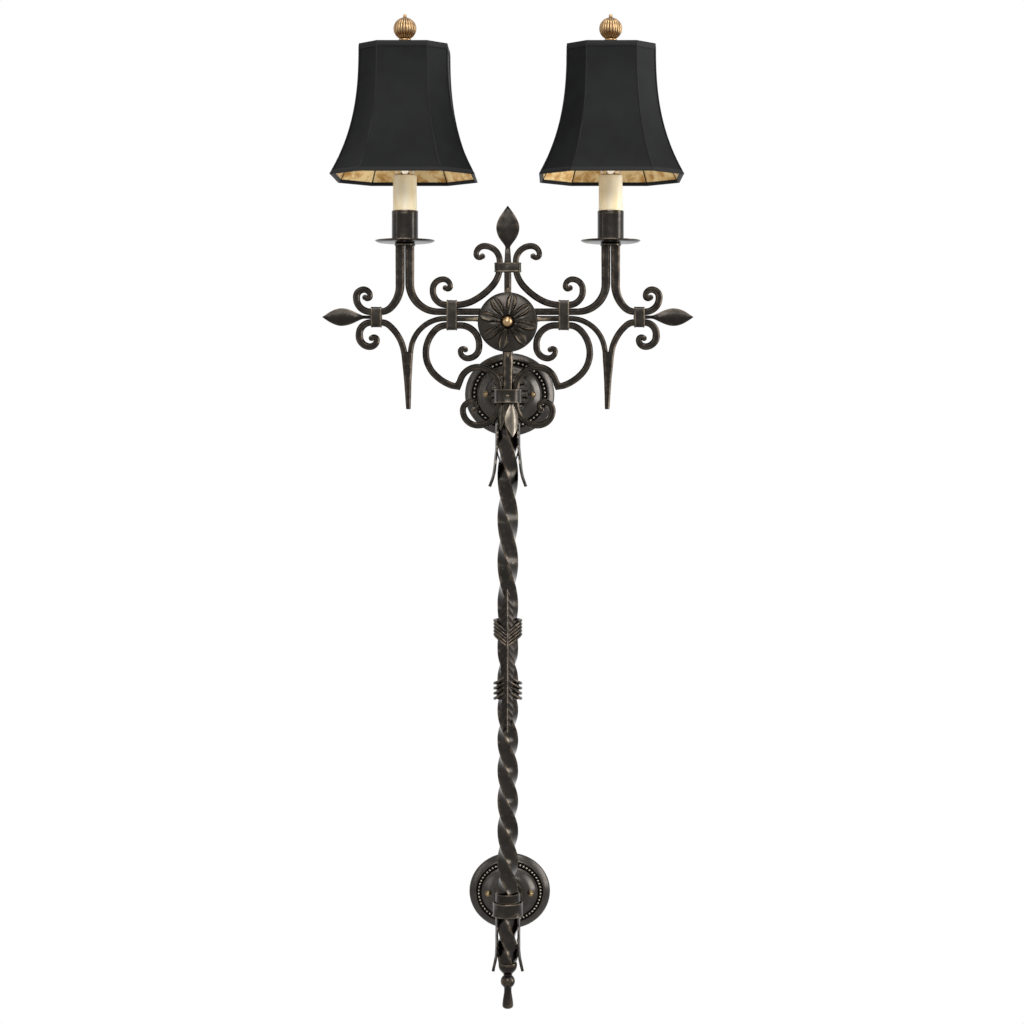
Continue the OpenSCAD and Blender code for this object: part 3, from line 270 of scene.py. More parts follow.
# Moves every point of a shape by a function of its place
def reshaped(shape, move):
    points, faces = shape
    return [(*move(x, y, z), rub) for x, y, z, rub in points], faces


def mirrored(shape):
    points, faces = reshaped(shape, lambda x, y, z: (-x, y, z))
    return points, [face[::-1] for face in faces]


def moved(shape, dx, dy, dz):
    return reshaped(shape, lambda x, y, z: (x + dx, y + dy, z + dz))


def dented(shape, depth, size):
    return reshaped(shape, lambda *p: (a + v * depth for a, v in zip(p, noise.noise_vector(Vector(p) / size))))


def pair(shape):
    return merged(mirrored(shape), shape)


def addPiece(name, shape, finish, nodes=(), body="root", sharp=30):
    points, faces = shape
    mesh = bpy.data.meshes.new(name)
    mesh.from_pydata([(x / 1000, y / 1000, z / 1000) for x, y, z, rub in points], [], faces)
    mesh.validate()
    worker = bmesh.new()
    worker.from_mesh(mesh)
    bmesh.ops.recalc_face_normals(worker, faces=worker.faces)
    worker.to_mesh(mesh)
    worker.free()
    mesh.attributes.new("rub", "FLOAT", "POINT").data.foreach_set("value", [p[3] for p in points])
    mesh.shade_smooth()
    mesh.set_sharp_from_angle(angle=math.radians(sharp))
    mesh.materials.append(finishes[finish])
    piece = bpy.data.objects.new(name, mesh)
    bpy.context.scene.collection.objects.link(piece)
    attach(piece, body)
    if nodes:
        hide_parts(*nodes)


# Joins rings of points into a skin, whose ends are capped, open, or joined to each other
def skin(rings, ends="capped"):
    count = len(rings[0])
    points = [p for ring in rings for p in ring]
    faces = []
    for i in range(len(rings) - (ends != "joined")):
        a, b = i * count, (i + 1) % len(rings) * count
        faces += [[a + k, a + (k + 1) % count, b + (k + 1) % count, b + k] for k in range(count)]
    if ends == "capped":
        for start in (0, (len(rings) - 1) * count):
            middle = [sum(p[axis] for p in points[start:start + count]) / count for axis in range(3)]
            points.append((*middle, 0.3))
            faces += [[start + k, start + (k + 1) % count, len(points) - 1] for k in range(count)]
    return points, faces


# Outline of a square bar with filed, slightly crowned chamfers: (across, out, rub)
def barOutline(width, depth, bevel, crown=0.1):
    outline = []
    halfW, halfD = width / 2, depth / 2
    for cu, cv, du, dv in ((1, 1, 0, 1), (-1, 1, -1, 0), (-1, -1, 0, -1), (1, -1, 1, 0)):
        cuts = ((0, 1, 0.7), (0.49, 0.49, 0.6), (1, 0, 0.7))
        for a, b, rub in cuts if cu * cv > 0 else cuts[::-1]:
            outline.append((cu * (halfW - bevel * a), cv * (halfD - bevel * b), rub))
        outline.append((du * (halfW + crown), dv * (halfD + crown), 0.0))
    return outline


# The same moves as in the CAD source: a place is (x, z, heading, width), a move (radius, degrees, width)
def trace(place, moves, spacing=2.4):
    places = [place]
    for radius, amount, endWidth in moves:
        x, z, heading, width = places[-1]
        length = abs(amount) * radius * math.pi / 180 if radius else amount
        steps = max(1, math.ceil(length / spacing), math.ceil(abs(amount) / 9) if radius else 1)
        reach = math.copysign(radius, amount)
        for i in range(1, steps + 1):
            f = i / steps
            w = width + (endWidth - width) * f
            if radius:
                turned = heading + amount * f
                places.append((x + reach * (sine(turned) - sine(heading)),
                               z - reach * (cosine(turned) - cosine(heading)), turned, w))
            else:
                places.append((x + amount * f * cosine(heading), z + amount * f * sine(heading), heading, w))
    return places


def joined(back, on):
    return [(x, z, h + 180, w) for x, z, h, w in reversed(back)] + on[1:]


hammer = {"depth": 0.13, "size": 11, "bevel": 1.9}


# A forged bar along a path in the plane of the bars
def forgedBar(path, bevel=hammer["bevel"], depths=None):
    depths = depths or [barD] * len(path)
    rings = []
    for i, out, size in [(0, -0.7, 0.8)] + [(i, 0, 1) for i in range(len(path))] + [(-1, 0.7, 0.8)]:
        x, z, heading, width = path[i]
        c, s = cosine(heading), sine(heading)
        outline = barOutline(width, depths[i], min(bevel, width * 0.35, depths[i] * 0.35))
        rings.append([(x + c * out - s * u * size, midY - v * size, z + s * out + c * u * size, 0.6 if out else rub)
                      for u, v, rub in outline])
    return skin(rings)


# Turns a profile of (radius, height, rub) about an axis through centre: "z" is up, "y" is towards the room
def lathe(profile, centre=(0, 0, 0), axis="z", steps=64, ripple=None, turn=0):
    rings = []
    for radius, height, rub in profile:
        ring = []
        for k in range(steps):
            a = turn + 2 * math.pi * k / steps
            r, extra = ripple(a, radius, height) if ripple else (radius, 0)
            across, side = r * math.cos(a), r * math.sin(a)
            place = (across, side, height) if axis == "z" else (across, -height, side)
            ring.append((*(p + q for p, q in zip(centre, place)), min(1, max(0, rub + extra))))
        rings.append(ring)
    return skin(rings)


# A closed section of (radius, height, rub) carried round the shaft's axis
def hoop(section, z, steps):
    angles = [2 * math.pi * k / steps for k in range(steps)]
    return skin([[(r * math.cos(a), midY + r * math.sin(a), z + h, rub) for r, h, rub in section] for a in angles],
                "joined")


def tube(points, radius, steps=10, rub=0.4):
    radii = radius if isinstance(radius, list) else [radius] * len(points)
    side = Vector((0.31, 0.17, 0.94)).normalized()
    angles = [2 * math.pi * k / steps for k in range(steps)]
    rings = []
    for i, r in enumerate(radii):
        here = Vector(points[i])
        ahead = (Vector(points[min(i + 1, len(points) - 1)]) - Vector(points[max(i - 1, 0)])).normalized()
        across = ahead.cross(side)
        if across.length < 0.1:
            across = ahead.cross(Vector((1, 0, 0)))
        across.normalize()
        up = ahead.cross(across)
        rings.append([(*(here + across * (r * math.cos(a)) + up * (r * math.sin(a))), rub) for a in angles])
    return skin(rings)


bendOut = 42 * (1 - cosine(45)) + 18 * cosine(45)
bendDown = 42 * sine(45) + 18 * (1 - sine(45))
collarHalf = collarLen / 2
sideCollarX = lightX + 6.4 + bendOut + collarHalf - 1
topBendIn = 50 * sine(28) + 85 * (sine(48) - sine(28)) + 40 * (1 - sine(48))
topBendUp = 50 * (1 - cosine(28)) + 85 * (cosine(28) - cosine(48)) + 40 * cosine(48)
topScrollX = 10.5
middleCollarX = topScrollX + topBendIn + collarHalf - 1.5
topCollarZ = topRowZ + topBendUp - 2
sScrollX = 10.8

outerArmPath = trace((lightX + 6.25, lightZ, -90, 11.9), [
    (0, lightZ - armRowZ - bendDown, 11.6), (42, 45, 9.4), (18, 45, barW), (0, 13.8, barW),
    (18, 90, 9.2), (0, 1.2, 9.4), (9.6, 90, 8.4), (8.2, 90, curlW + 1.2), (3.6, curlTurn, curlW + 0.4)])
innerArmPath = trace((lightX - 6.25, lightZ, -90, 11.9), [
    (0, lightZ - armRowZ - 37, 11.4), (37, -90, barW), (0, lightX - 6.25 - 37 - 6.8, barW)])
lowerBarPath = joined(
    trace((sideCollarX, lowerRowZ, 180, barW), [(0, collarHalf, barW), (15, 40, 8.4), (57, 43, 8)]),
    trace((sideCollarX, lowerRowZ, 0, barW), [
        (0, collarHalf, barW), (15.3, -90, 9.4), (0, 2.2, 9.8), (14, -90, 8.8), (8.8, -90, 7.8),
        (3.8, -curlTurn, curlW + 0.4)]))
spike = {"topW": 15.6, "waistW": 9.6, "tipW": 6, "length": 73.5, "topZ": lowerBarPath[0][1] + 1.4,
         "x": lowerBarPath[0][0] - 3.8}
innerTail = (innerRowZ - 45 * (1 - cosine(80)) - spike["topZ"] - 0.9) / sine(80)
innerRun = spike["x"] - 4.3 - middleCollarX - 45 * sine(80) - innerTail * cosine(80)
innerBarPath = joined(
    trace((middleCollarX, innerRowZ, 180, 7), [(0, middleCollarX - 6.8, 7)]),
    trace((middleCollarX, innerRowZ, 0, 7), [(0, innerRun, 7), (45, -80, 7), (0, innerTail, 7)]))
topScrollPath = joined(
    trace((middleCollarX, topRowZ, 180, barW), [
        (0, collarHalf - 1.5, barW), (50, -28, barW), (85, -20, barW), (40, -42, 8), (0, 6, 8), (19.9, -90, 8),
        (10.8, -90, 7), (4.5, -curlTurn, curlW)]),
    trace((middleCollarX, topRowZ, 0, barW), [
        (0, collarHalf, barW), (18, 90, 8.2), (0, 2, 8.2), (13.4, 90, 7.6), (9.4, 90, curlW + 0.8),
        (3.5, curlTurn, curlW)]))
cScrollPath = joined(
    trace((middleCollarX, cRowZ, 180, barW), [
        (0, collarHalf + 4.2, barW), (24.5, 90, barW), (0, 3.4, barW), (15, 90, 8), (9.4, 90, curlW + 0.8),
        (3.5, curlTurn, curlW)]),
    trace((middleCollarX, cRowZ, 0, barW), [
        (0, collarHalf, barW), (21, -45, barW), (42, -45, barW), (40, -45, barW), (61, -34, barW)]))
sScrollPath = joined(
    trace((sScrollX, clampZ, 90, 8), [(0, 9.8, 8), (28, -90, 8.4), (24, -70, 8.4), (0, 3.8, 8.4)]),
    trace((sScrollX, clampZ, -90, 8), [
        (0, 10, 8), (28.2, 90, 8.4), (19.5, 90, 8), (11.6, 90, curlW + 0.8), (6, curlTurn, curlW)]))

# The C and S scrolls meet in a mitre: outer corner (62.5, 4.6), inner corner (68.6, 14)
mitre = (65.55, 9.3, 147, 11.2)


def beforeMitre(place):
    return (place[0] - mitre[0]) * cosine(mitre[2]) + (place[1] - mitre[1]) * sine(mitre[2])


cScrollPath = [p for i, p in enumerate(cScrollPath) if i < len(cScrollPath) - 12 or beforeMitre(p) < -4] + [mitre]
sScrollPath = [mitre] + [p for i, p in enumerate(sScrollPath) if i > 12 or beforeMitre(p) > 4]
spikeShares = [i / 30 for i in range(31)]
spikePath = [(spike["x"] - 1.6 * t, spike["topZ"] - spike["length"] * t, -90, spike["topW"]
              + (spike["waistW"] - spike["topW"]) * min(1, t * 2)
              + (spike["tipW"] - spike["waistW"]) * max(0, t * 2 - 1))
             for t in spikeShares]


# The round button at the heart of a curl
def curlEnd(place):
    half, edge, core = barD / 2, 1.5, 2.2
    profile = [(0.6, -half - 0.1, 0.2), (core, -half, 0.4)]
    for lift, angles in ((edge - half, (30, 60, 90)), (half - edge, (90, 120, 150))):
        profile += [(core + edge * sine(a), lift - edge * cosine(a), 0.95) for a in angles]
    return lathe(profile + [(core, half, 0.4), (0.6, half + 0.1, 0.2)], (place[0], midY, place[1]), "y", 28)


def bothSides(name, shape, node):
    for prefix, part in (("left_", mirrored(shape)), ("right_", shape)):
        addPiece(prefix + name, dented(part, hammer["depth"], hammer["size"]), "oilRubbedIron", [prefix + node])


for name, node, path, curls in (
        ("outerArm", "outer_arm", outerArmPath, [-1]), ("innerArm", "inner_arm", innerArmPath, []),
        ("lowerBar", "lower_bar", lowerBarPath, [-1]), ("innerBar", "inner_bar", innerBarPath, []),
        ("topScroll", "top_scroll", topScrollPath, [0, -1]), ("cScroll", "c_scroll", cScrollPath, [0]),
        ("sScroll", "s_scroll", sScrollPath, [-1])):
    parts = [forgedBar(path)] + [curlEnd(path[end]) for end in curls]
    if name == "lowerBar":
        parts.append(forgedBar(spikePath, depths=[barD - 1.6 * t for t in spikeShares]))
    bothSides(name, merged(*parts), node)
print("bars and scrolls made")


# Half width of a pointed leaf at the share t of its length, widest at the share wide
def leafHalf(t, width, wide):
    return width / 2 * math.sin(math.pi * min(1, max(0, t)) ** (math.log(0.5) / math.log(wide)))


# The front of a creased blade across its width: (across, out)
def bladeFront(half, edge, middle, belly):
    slope = edge + (middle - edge) * belly
    return [(half, edge), (half * 0.5, slope), (0, middle), (-half * 0.5, slope), (-half, edge)]


# Lays a front and its mirrored back round a blade, at one place along it
def bladeRing(along, front, wear):
    ring = [(along, across, out, rub) for (across, out), rub in zip(front, wear)]
    return ring + [(along, across, -out, rub) for _, across, out, rub in reversed(ring)]


spears = {"neck": 13.5, "side": {"length": 57, "width": 23, "wide": 0.55, "thick": 4.6},
          "topNeckZ": 190, "top": {"length": 54.8, "width": 30, "wide": 0.47, "thick": 5.4}}


# A forged spear: a chamfered stem from shank to neck that flattens into a creased blade. halves and
# deeps are the stem's half width and half depth at its two ends, blend the length of the change.
def spear(shank, neck, halves, deeps, blend, plan):
    rings = []
    for i in range(91):
        along = shank + (neck + plan["length"] - shank) * i / 90
        f = min(1, (along - shank) / (neck - shank))
        t = min(1, max(0, (along - neck) / plan["length"]))
        stemHalf, deep = halves[0] + (halves[1] - halves[0]) * f, deeps[0] + (deeps[1] - deeps[0]) * eased(f)
        half = max(0.25, (stemHalf ** 3 * (1 - t) + leafHalf(t, plan["width"], plan["wide"]) ** 3) ** (1 / 3))
        stem = [(half, deep - 1.4), (half - 1.0, deep), (0, deep + 0.1), (-half + 1.0, deep), (-half, deep - 1.4)]
        blade = bladeFront(half, min(0.6, half * 0.5), max(0.5, plan["thick"] / 2 * (1 - 0.6 * t ** 3)), 0.42)
        share = eased((along - neck + blend) / (2 * blend))
        front = [(a * (1 - share) + c * share, b * (1 - share) + d * share) for (a, b), (c, d) in zip(stem, blade)]
        rings.append(bladeRing(along, front, (0.7, 0.15, 0.3 * share, 0.15, 0.7)))
    return skin(rings)


collarEnd = sideCollarX + collarHalf
shank = forgedBar([(x, spearRowZ, 0, 2 * shankHalf) for x in (sideCollarX - collarHalf, collarEnd + 1)], 1)
blade = spear(collarEnd - 1, sideCollarX + spears["neck"], (2.4, 2.1), (4.3, 2.7), 5, spears["side"])
bothSides("spear", merged(shank, reshaped(blade, lambda x, a, d: (x, midY - d, spearRowZ + a))), "spear")

barTopZ, collarTopZ = armRowZ + barW / 2, topCollarZ + collarHalf
stem = forgedBar([(0, barTopZ + (collarTopZ + 1 - barTopZ) * i / 20, 90, 9) for i in range(21)])
blade = spear(collarTopZ - 1, spears["topNeckZ"], (4.5, 3.2), (4.3, 3.2), 8, spears["top"])
topSpear = merged(stem, reshaped(blade, lambda z, a, d: (a, midY - d, z)))
addPiece("topSpear", dented(topSpear, 0.22, 10), "oilRubbedIron", ["top_spear"])
shaftTopZ = -8.8
centreBar = forgedBar([(0, shaftTopZ + (barTopZ - shaftTopZ) * i / 46, 90, 13.3) for i in range(47)], 2.2)
addPiece("centreBar", dented(centreBar, 0.08, 12), "twistedIronShaft", ["centre_bar"])
print("spears made")


# Points round a soft-cornered rectangle with their outward directions: (a, b, outward a, outward b)
def softRectangle(halfA, halfB, radius, spacing=3):
    corners = ((1, 1), (-1, 1), (-1, -1), (1, -1))
    loop = []
    for k, (ca, cb) in enumerate(corners):
        for a in range(90 * k, 90 * k + 91, 18):
            c, s = cosine(a), sine(a)
            loop.append((ca * (halfA - radius) + radius * c, cb * (halfB - radius) + radius * s, c, s))
        fromA, fromB, c, s = loop[-1]
        na, nb = corners[(k + 1) % 4]
        toA, toB = na * (halfA - radius) + radius * c, nb * (halfB - radius) + radius * s
        count = max(2, int(math.hypot(toA - fromA, toB - fromB) / spacing))
        loop += [(fromA + (toA - fromA) * i / count, fromB + (toB - fromB) * i / count, c, s)
                 for i in range(1, count)]
    return loop


# A section of (out, along, rub) that is the same to both sides of its middle
def symmetric(half, middle=()):
    return [(out, -along, rub) for out, along, rub in half] + list(middle) + half[::-1]


strapThick = {"collar": 1.9, "band": 1.7}


# A strap bent round a soft-cornered rectangle, with a bead near each edge. place lays out its points.
def collar(halfA, halfB, radius, width, place):
    thick, h = strapThick["collar"], width / 2
    section = symmetric([(0, h - 0.3, 0.2), (0.4, h, 0.9), (thick - 0.35, h, 1.0), (thick + 0.15, h - 0.45, 1.0),
                         (thick + 0.15, h - 1.5, 0.8), (thick - 0.3, h - 2.2, 0.0), (thick - 0.22, h * 0.3, 0.1)])
    rings = [[(*place(along, a + na * out, b + nb * out), rub) for out, along, rub in section]
             for a, b, na, nb in softRectangle(halfA + 0.2, halfB + 0.2, radius)]
    return dented(skin(rings, "joined"), 0.3, 8)


def collarPair(x, low, high):
    middle = (low + high) / 2
    return [collar(barD / 2, (high - low) / 2, 1.2, collarLen,
                   lambda along, a, b: (side * (x + along), midY - a, middle + b))
            for side in (-1, 1)]


def roundBand(radius, height, z):
    thick, h = strapThick["band"], height / 2
    section = symmetric([(radius, h - 0.5, 0.1), (radius + 0.4, h, 0.8), (radius + thick - 0.4, h, 1),
                         (radius + thick + 0.1, h - 0.5, 1), (radius + thick + 0.1, h - 1.4, 0.7),
                         (radius + thick - 0.2, h - 2.1, 0.1)], [(radius + thick - 0.1, 0, 0.25)])
    return hoop(section, z, 72)


for name, x, low, high in (("side", sideCollarX, lowerRowZ - barW / 2, barTopZ),
                           ("middle", middleCollarX, cRowZ - barW / 2, topRowZ + barW / 2)):
    addPiece(name + "Collars", merged(*collarPair(x, low, high)), "oilRubbedIronRubbedBright", [name + "_collars"])
topCollar = collar(topScrollX + 5, barD / 2, 3.2, collarLen - 1.2,
                   lambda along, a, b: (a, midY - b, topCollarZ + along))
addPiece("topCollar", topCollar, "oilRubbedIronRubbedBright", ["top_collar"])

clampR = math.hypot(sScrollX + 4, barD / 2) + 0.2
rivet = lathe([(1.9, -0.4, 0.5), (1.9, 0.3, 0.9), (1.4, 0.8, 1), (0.6, 1.0, 1)], (0, midY - clampR - 1.6, clampZ),
              "y", 16)
clamp = merged(roundBand(clampR, 17.6, clampZ), rivet)
addPiece("upperClamp", dented(clamp, 0.25, 9), "oilRubbedIronRubbedBright", ["upper_clamp"])
addPiece("lowerBand", dented(roundBand(17.9, 18, lowerPlateZ), 0.25, 9), "oilRubbedIronRubbedBright", ["lower_band"])
print("collars made")

shaftPlan = {"side": 19.6, "neckSide": 12.1, "neck": 34, "twistStart": -22.5, "change": -336.6, "bottomZ": -740.5,
             "upperTurn": 224, "lowerTurn": 158, "bevel": 0.5, "hollow": 0.3}


def twistedShaft():
    plan = shaftPlan
    rings = []
    for i in range(481):
        z = shaftTopZ + (plan["bottomZ"] - shaftTopZ) * i / 480
        upper = max(0, plan["twistStart"] - max(z, plan["change"]))
        lower = max(0, plan["change"] - z)
        a = upper * 360 / plan["upperTurn"] + lower * 360 / plan["lowerTurn"]
        c, s = cosine(a), sine(a)
        grown = min(1, max(0, (shaftTopZ - z) / plan["neck"])) ** 2
        side = plan["neckSide"] + (plan["side"] - plan["neckSide"]) * grown
        rings.append([(u * c - v * s, midY + u * s + v * c, z, rub * 0.8)
                      for u, v, rub in barOutline(side, side, plan["bevel"], -plan["hollow"])])
    return skin(rings)


# A petal that laps over a corner of the neck under the clamp
def headPetal(angle, length, width):
    rings = []
    for i in range(27):
        t = i / 26
        half = max(leafHalf(t, width, 0.52), 3.4 * (1 - t), 0.25)
        front = bladeFront(half, min(0.55, half * 0.5), max(0.5, 1.3 * (1 - 0.55 * t ** 3)), 0.36)
        rings.append(bladeRing(t * length, front, (0.9, 0.1, 0.75, 0.1, 0.9)))

    def lapped(along, across, out):
        t = along / length
        lap = 9.2 + 4.6 * math.sin(math.pi / 2 * min(1, t * 1.7)) - 1.4 * max(0, t - 0.6)
        reach = lap - 0.035 * across * across + out
        c, s = cosine(angle), sine(angle)
        return s * reach + c * across, midY - c * reach + s * across, -10.5 - along

    return reshaped(skin(rings), lapped)


addPiece("twistedShaft", dented(twistedShaft(), 0.1, 16), "twistedIronShaft", ["shaft"], sharp=40)
# The petal on the right, lit side takes a lighter iron than the three others: painted highlight
addPiece("headPetal", headPetal(29, 46, 20), "paintedHighlightIronPetal", sharp=40)
sidePetals = merged(headPetal(-42, 38, 13), headPetal(135, 40, 13), headPetal(-135, 40, 13))
addPiece("headPetals", sidePetals, "oilRubbedIronRubbedBright", sharp=40)
print("shaft made")

rosettePlan = {"radius": 39, "rise": 10, "root": 8.2, "tip": 37.2, "half": 7.0, "rootHalf": 1.7, "lift": 3.3,
               "edge": 0.42, "bowl": 2.6, "pleat": 0.35, "ballR": 7,
               "tips": (11.5, 53.2, 100.4, 141.7, 193.1, 235.6, 284.6, 327.6)}
rosetteBackY = midY - barD / 2 - 2.3


# How far a pressed petal lifts the disc at a place, and how worn it is there
def petalRelief(r, degrees):
    plan = rosettePlan
    off = min(((degrees - tip + 180) % 360 - 180 for tip in plan["tips"]), key=abs)
    along, across = r * cosine(off), r * sine(off)
    t = (along - plan["root"]) / (plan["tip"] - plan["root"])
    if t < 0:
        return 0, 0
    if t < 0.66:
        half = plan["rootHalf"] + (plan["half"] - plan["rootHalf"]) * math.sin(math.pi / 2 * t / 0.66) ** 1.2
    else:
        half = plan["half"] * max(0, 1 - ((t - 0.66) / 0.34) ** 2.2) ** 0.75
    share = abs(across) / half if half > 0.05 else 9
    ease = min(1, t * 4)
    body = plan["lift"] * eased((1 - share) / plan["edge"]) * (0.55 + 0.45 * ease)
    hollow = plan["bowl"] * max(0, 1 - (share / 0.6) ** 2) * ease * (1 - 0.5 * t ** 3)
    crease = 0.5 * math.exp(-(across / 0.7) ** 2) * ease * max(0, 1 - t)
    pleats = plan["pleat"] * cosine(off * 32) * math.exp(-((r - 12) / 9) ** 2) * (share > 1)
    rim = math.exp(-((share - 0.62) / 0.22) ** 2) * ease + 0.25 * (share < 1)
    return body - hollow + crease + pleats, min(1, rim)


def rosetteDisc():
    radius, steps, count = rosettePlan["radius"], 480, 100
    angles = [360 * k / steps for k in range(steps)]
    rings = [[(r * sine(a), rosetteBackY - height, rosetteZ + r * cosine(a), 0.9) for a in angles]
             for r, height in ((radius - 1, 0.0), (radius, 0.8), (radius, 1.9), (radius - 0.5, 2.7))]
    for i in range(count):
        r = (radius - 1.2) * (1 - i / count) + 6.2 * (i / count)
        dome = 2.8 + (rosettePlan["rise"] - 3.6) * math.sqrt(max(0, 1 - (r / radius) ** 2)) ** 0.9
        cup = -2.2 * math.exp(-((r - 6.5) / 2.2) ** 2)
        ring = []
        for a in angles:
            relief, rub = petalRelief(r, a)
            ring.append((r * sine(a), rosetteBackY - dome - cup - relief * min(1, (radius - r) / 3),
                         rosetteZ + r * cosine(a), rub))
        rings.append(ring)
    return skin(rings)


addPiece("rosetteDisc", rosetteDisc(), "pressedIronRosette", ["rosette"], sharp=80)
ballR = rosettePlan["ballR"]
ballProfile = [(4.4, -ballR - 1.6, 0.2), (4.2, -ballR * 0.93, 0.2)]
ballProfile += [(ballR * cosine(a), ballR * sine(a), 0.75) for a in range(-66, 90, 9)] + [(0.4, ballR, 0.8)]
ball = lathe(ballProfile, (0, rosetteBackY - rosettePlan["rise"] - 0.3 - ballR * 0.86, rosetteZ), "y", 40)
addPiece("rosetteBall", ball, "rubbedBrassBall", ["rosette_ball"])


# Four creased points behind the disc, of 2 mm sheet: the side ones are long and slim
def starLeaf():
    parts = []
    for quarter in range(4):
        c, s, long = cosine(90 * quarter), sine(90 * quarter), quarter % 2
        rings = []
        for i in range(31):
            t = i / 30
            along = 8 + (56 if long else 38) * t
            half = 15 * max(0, 1 - (along - 8) / 38) ** 0.8 + 2.6 * long
            if long and along > 37:
                half = 3.2 * min(1, (1 - t) / 0.5)
            half = max(0.25, half)
            lift = rosetteZ + 3.4 * long * eased((along - 30) / 8)
            rings.append([(across * half * c + along * s, midY - barD / 2 - 0.15 - out,
                           lift - across * half * s + along * c, rub)
                          for across, out, rub in ((-1, 0.2, 0.6), (-1, 1.3, 0.9), (-0.5, 1.7, 0.1), (0, 2.5, 0.9),
                                                   (0.5, 1.7, 0.1), (1, 1.3, 0.9), (1, 0.2, 0.6))])
        parts.append(skin(rings))
    return merged(*parts)


addPiece("starLeaf", starLeaf(), "rubbedIronTips", ["rosette_leaf"])
print("rosette made")

# A pressed oval canopy, open at the back. Profile from the middle of the inside round the rim to
# the middle of the front: how far in from the outline, how far out from the wall, rub
plateProfile = [(38.0, 18.3, 0.0), (31.0, 18.0, 0.0), (27.4, 16.4, 0.0), (19.6, 10.2, 0.0), (18.0, 9.4, 0.0),
                (17.3, 5.6, 0.0), (10.0, 5.6, 0.0), (8.4, 7.4, 0.0), (5.2, 5.2, 0.0), (2.6, 2.8, 0.0),
                (1.9, 1.6, 0.0), (1.8, 0.0, 0.0), (0.3, 0.0, 0.3), (0.0, 0.5, 0.4), (0.0, 2.0, 0.3),
                (0.5, 3.2, 0.5), (1.4, 4.2, 0.2), (2.8, 5.5, 0.0), (4.4, 6.8, 0.0), (6.0, 8.1, 0.0),
                (7.6, 9.2, 0.1), (8.8, 9.8, 0.5), (9.5, 9.5, 0.6), (9.9, 8.9, 0.4), (10.2, 7.6, 0.0),
                (10.6, 7.3, 0.0), (15.4, 7.3, 0.0), (15.9, 7.8, 0.0), (16.3, 10.2, 0.3), (16.8, 11.0, 0.6),
                (17.6, 11.3, 0.3), (18.6, 11.5, 0.1), (19.6, 12.2, 0.0), (21.4, 13.8, 0.0), (23.4, 15.5, 0.0),
                (25.4, 17.2, 0.0), (27.2, 18.5, 0.1), (29.0, 19.4, 0.3), (31.0, 19.9, 0.2), (34.0, 20.1, 0.0),
                (38.0, 20.1, 0.0)]
# A near-black sheet laid just in front of the floor of the bead channel: painted shade between the beads
paintedShadeSheetProfile = [(10.0, 8.2, 0), (10.5, 7.7, 0), (12, 7.5, 0), (14, 7.5, 0), (15.5, 7.7, 0), (16.0, 8.4, 0)]
plates = {"upper": {"width": 121, "height": 112, "z": 0, "beads": 50, "nutX": 31.5},
          "lower": {"width": 109, "height": 102, "z": lowerPlateZ, "beads": 54, "nutX": 28.75}}
# The beads are fully worn in the rub attribute and take a light iron: painted highlight on each bead
beadProfile = [(1.75 * cosine(b), 2.6 * sine(b), 1) for b in range(-70, 71, 20)]
beadInset = 13
nutProfile = [(2.6, -3.4, 0.0), (3.6, -3.4, 0.0), (4.0, 0.1, 0.2), (4.2, 0.4, 0.3), (4.2, 1.2, 0.3),
              (3.7, 1.5, 0.1), (3.3, 1.7, 0.0)]
nutProfile += [(3.3 * cosine(a), 1.7 + 3.8 * sine(a), 0.2 + a / 150) for a in range(6, 90, 12)] + [(0.3, 5.5, 0.8)]
for name, plan in plates.items():
    halfW, halfH = plan["width"] / 2, plan["height"] / 2
    plate, paintedShadeSheet = [[[((halfW - inset) * cosine(2.5 * k), -out, plan["z"] + (halfH - inset) * sine(2.5 * k), rub)
                       for k in range(144)]
                      for inset, out, rub in profile] for profile in (plateProfile, paintedShadeSheetProfile)]
    beads = []
    for k in range(plan["beads"]):
        a = 360 * (k + 0.5) / plan["beads"]
        x, h = (halfW - beadInset) * cosine(a), (halfH - beadInset) * sine(a)
        beads.append(lathe(beadProfile, (x, -8.6, plan["z"] + h), "y", 14, turn=math.atan2(h, x)))
    addPiece(name + "WallPlate", skin(plate), "pressedIronPlate", [name + "_wall_plate"])
    addPiece(name + "PlateBeads", merged(*beads), "paintedHighlightIronBeads", sharp=70)
    # the painted-shade sheet in the bead channel
    addPiece(name + "PlatePaintedShadeSheet", skin(paintedShadeSheet, "open"), "paintedShadeIronSheet")
for name, plan in plates.items():
    nuts = [lathe(nutProfile, (x, -20, plan["z"]), "y", 28) for x in (-plan["nutX"], plan["nutX"])]
    addPiece(name + "CapNuts", merged(*nuts), "agedBrassNuts", [name + "_cap_nuts"])
print("wall plates made")


def squareArm(outline, z, startY, endY, steps):
    return skin([[(u, startY + (endY - startY) * i / steps, z + v, rub) for u, v, rub in outline]
                 for i in range(steps + 1)])


# An arm to the wall with the flange and the nut at its root
def wallArm(z, armZ, endY):
    flange = [(2, 0.0, 0), (18.1, 0.0, 0.4), (18.5, 0.5, 0.9), (18.5, 2.6, 0.7), (17.9, 3.6, 0.9), (15.6, 4.1, 0.4),
              (12.8, 4.2, 0.2), (12.1, 4.8, 0.3), (11.9, 6.2, 0.8), (11.2, 7.0, 0.8), (4, 7.2, 0.1)]
    nut = [(1, -14, 0), (5, -14, 0.3), (5, 1, 0.3), (1, 1, 0)]
    return merged(lathe(flange, (0, -20, z), "y", 48), lathe(nut, (0, -20, z), "y", 24),
                  squareArm(barOutline(16, 14, 1.6), armZ, -23.5, endY, 28))


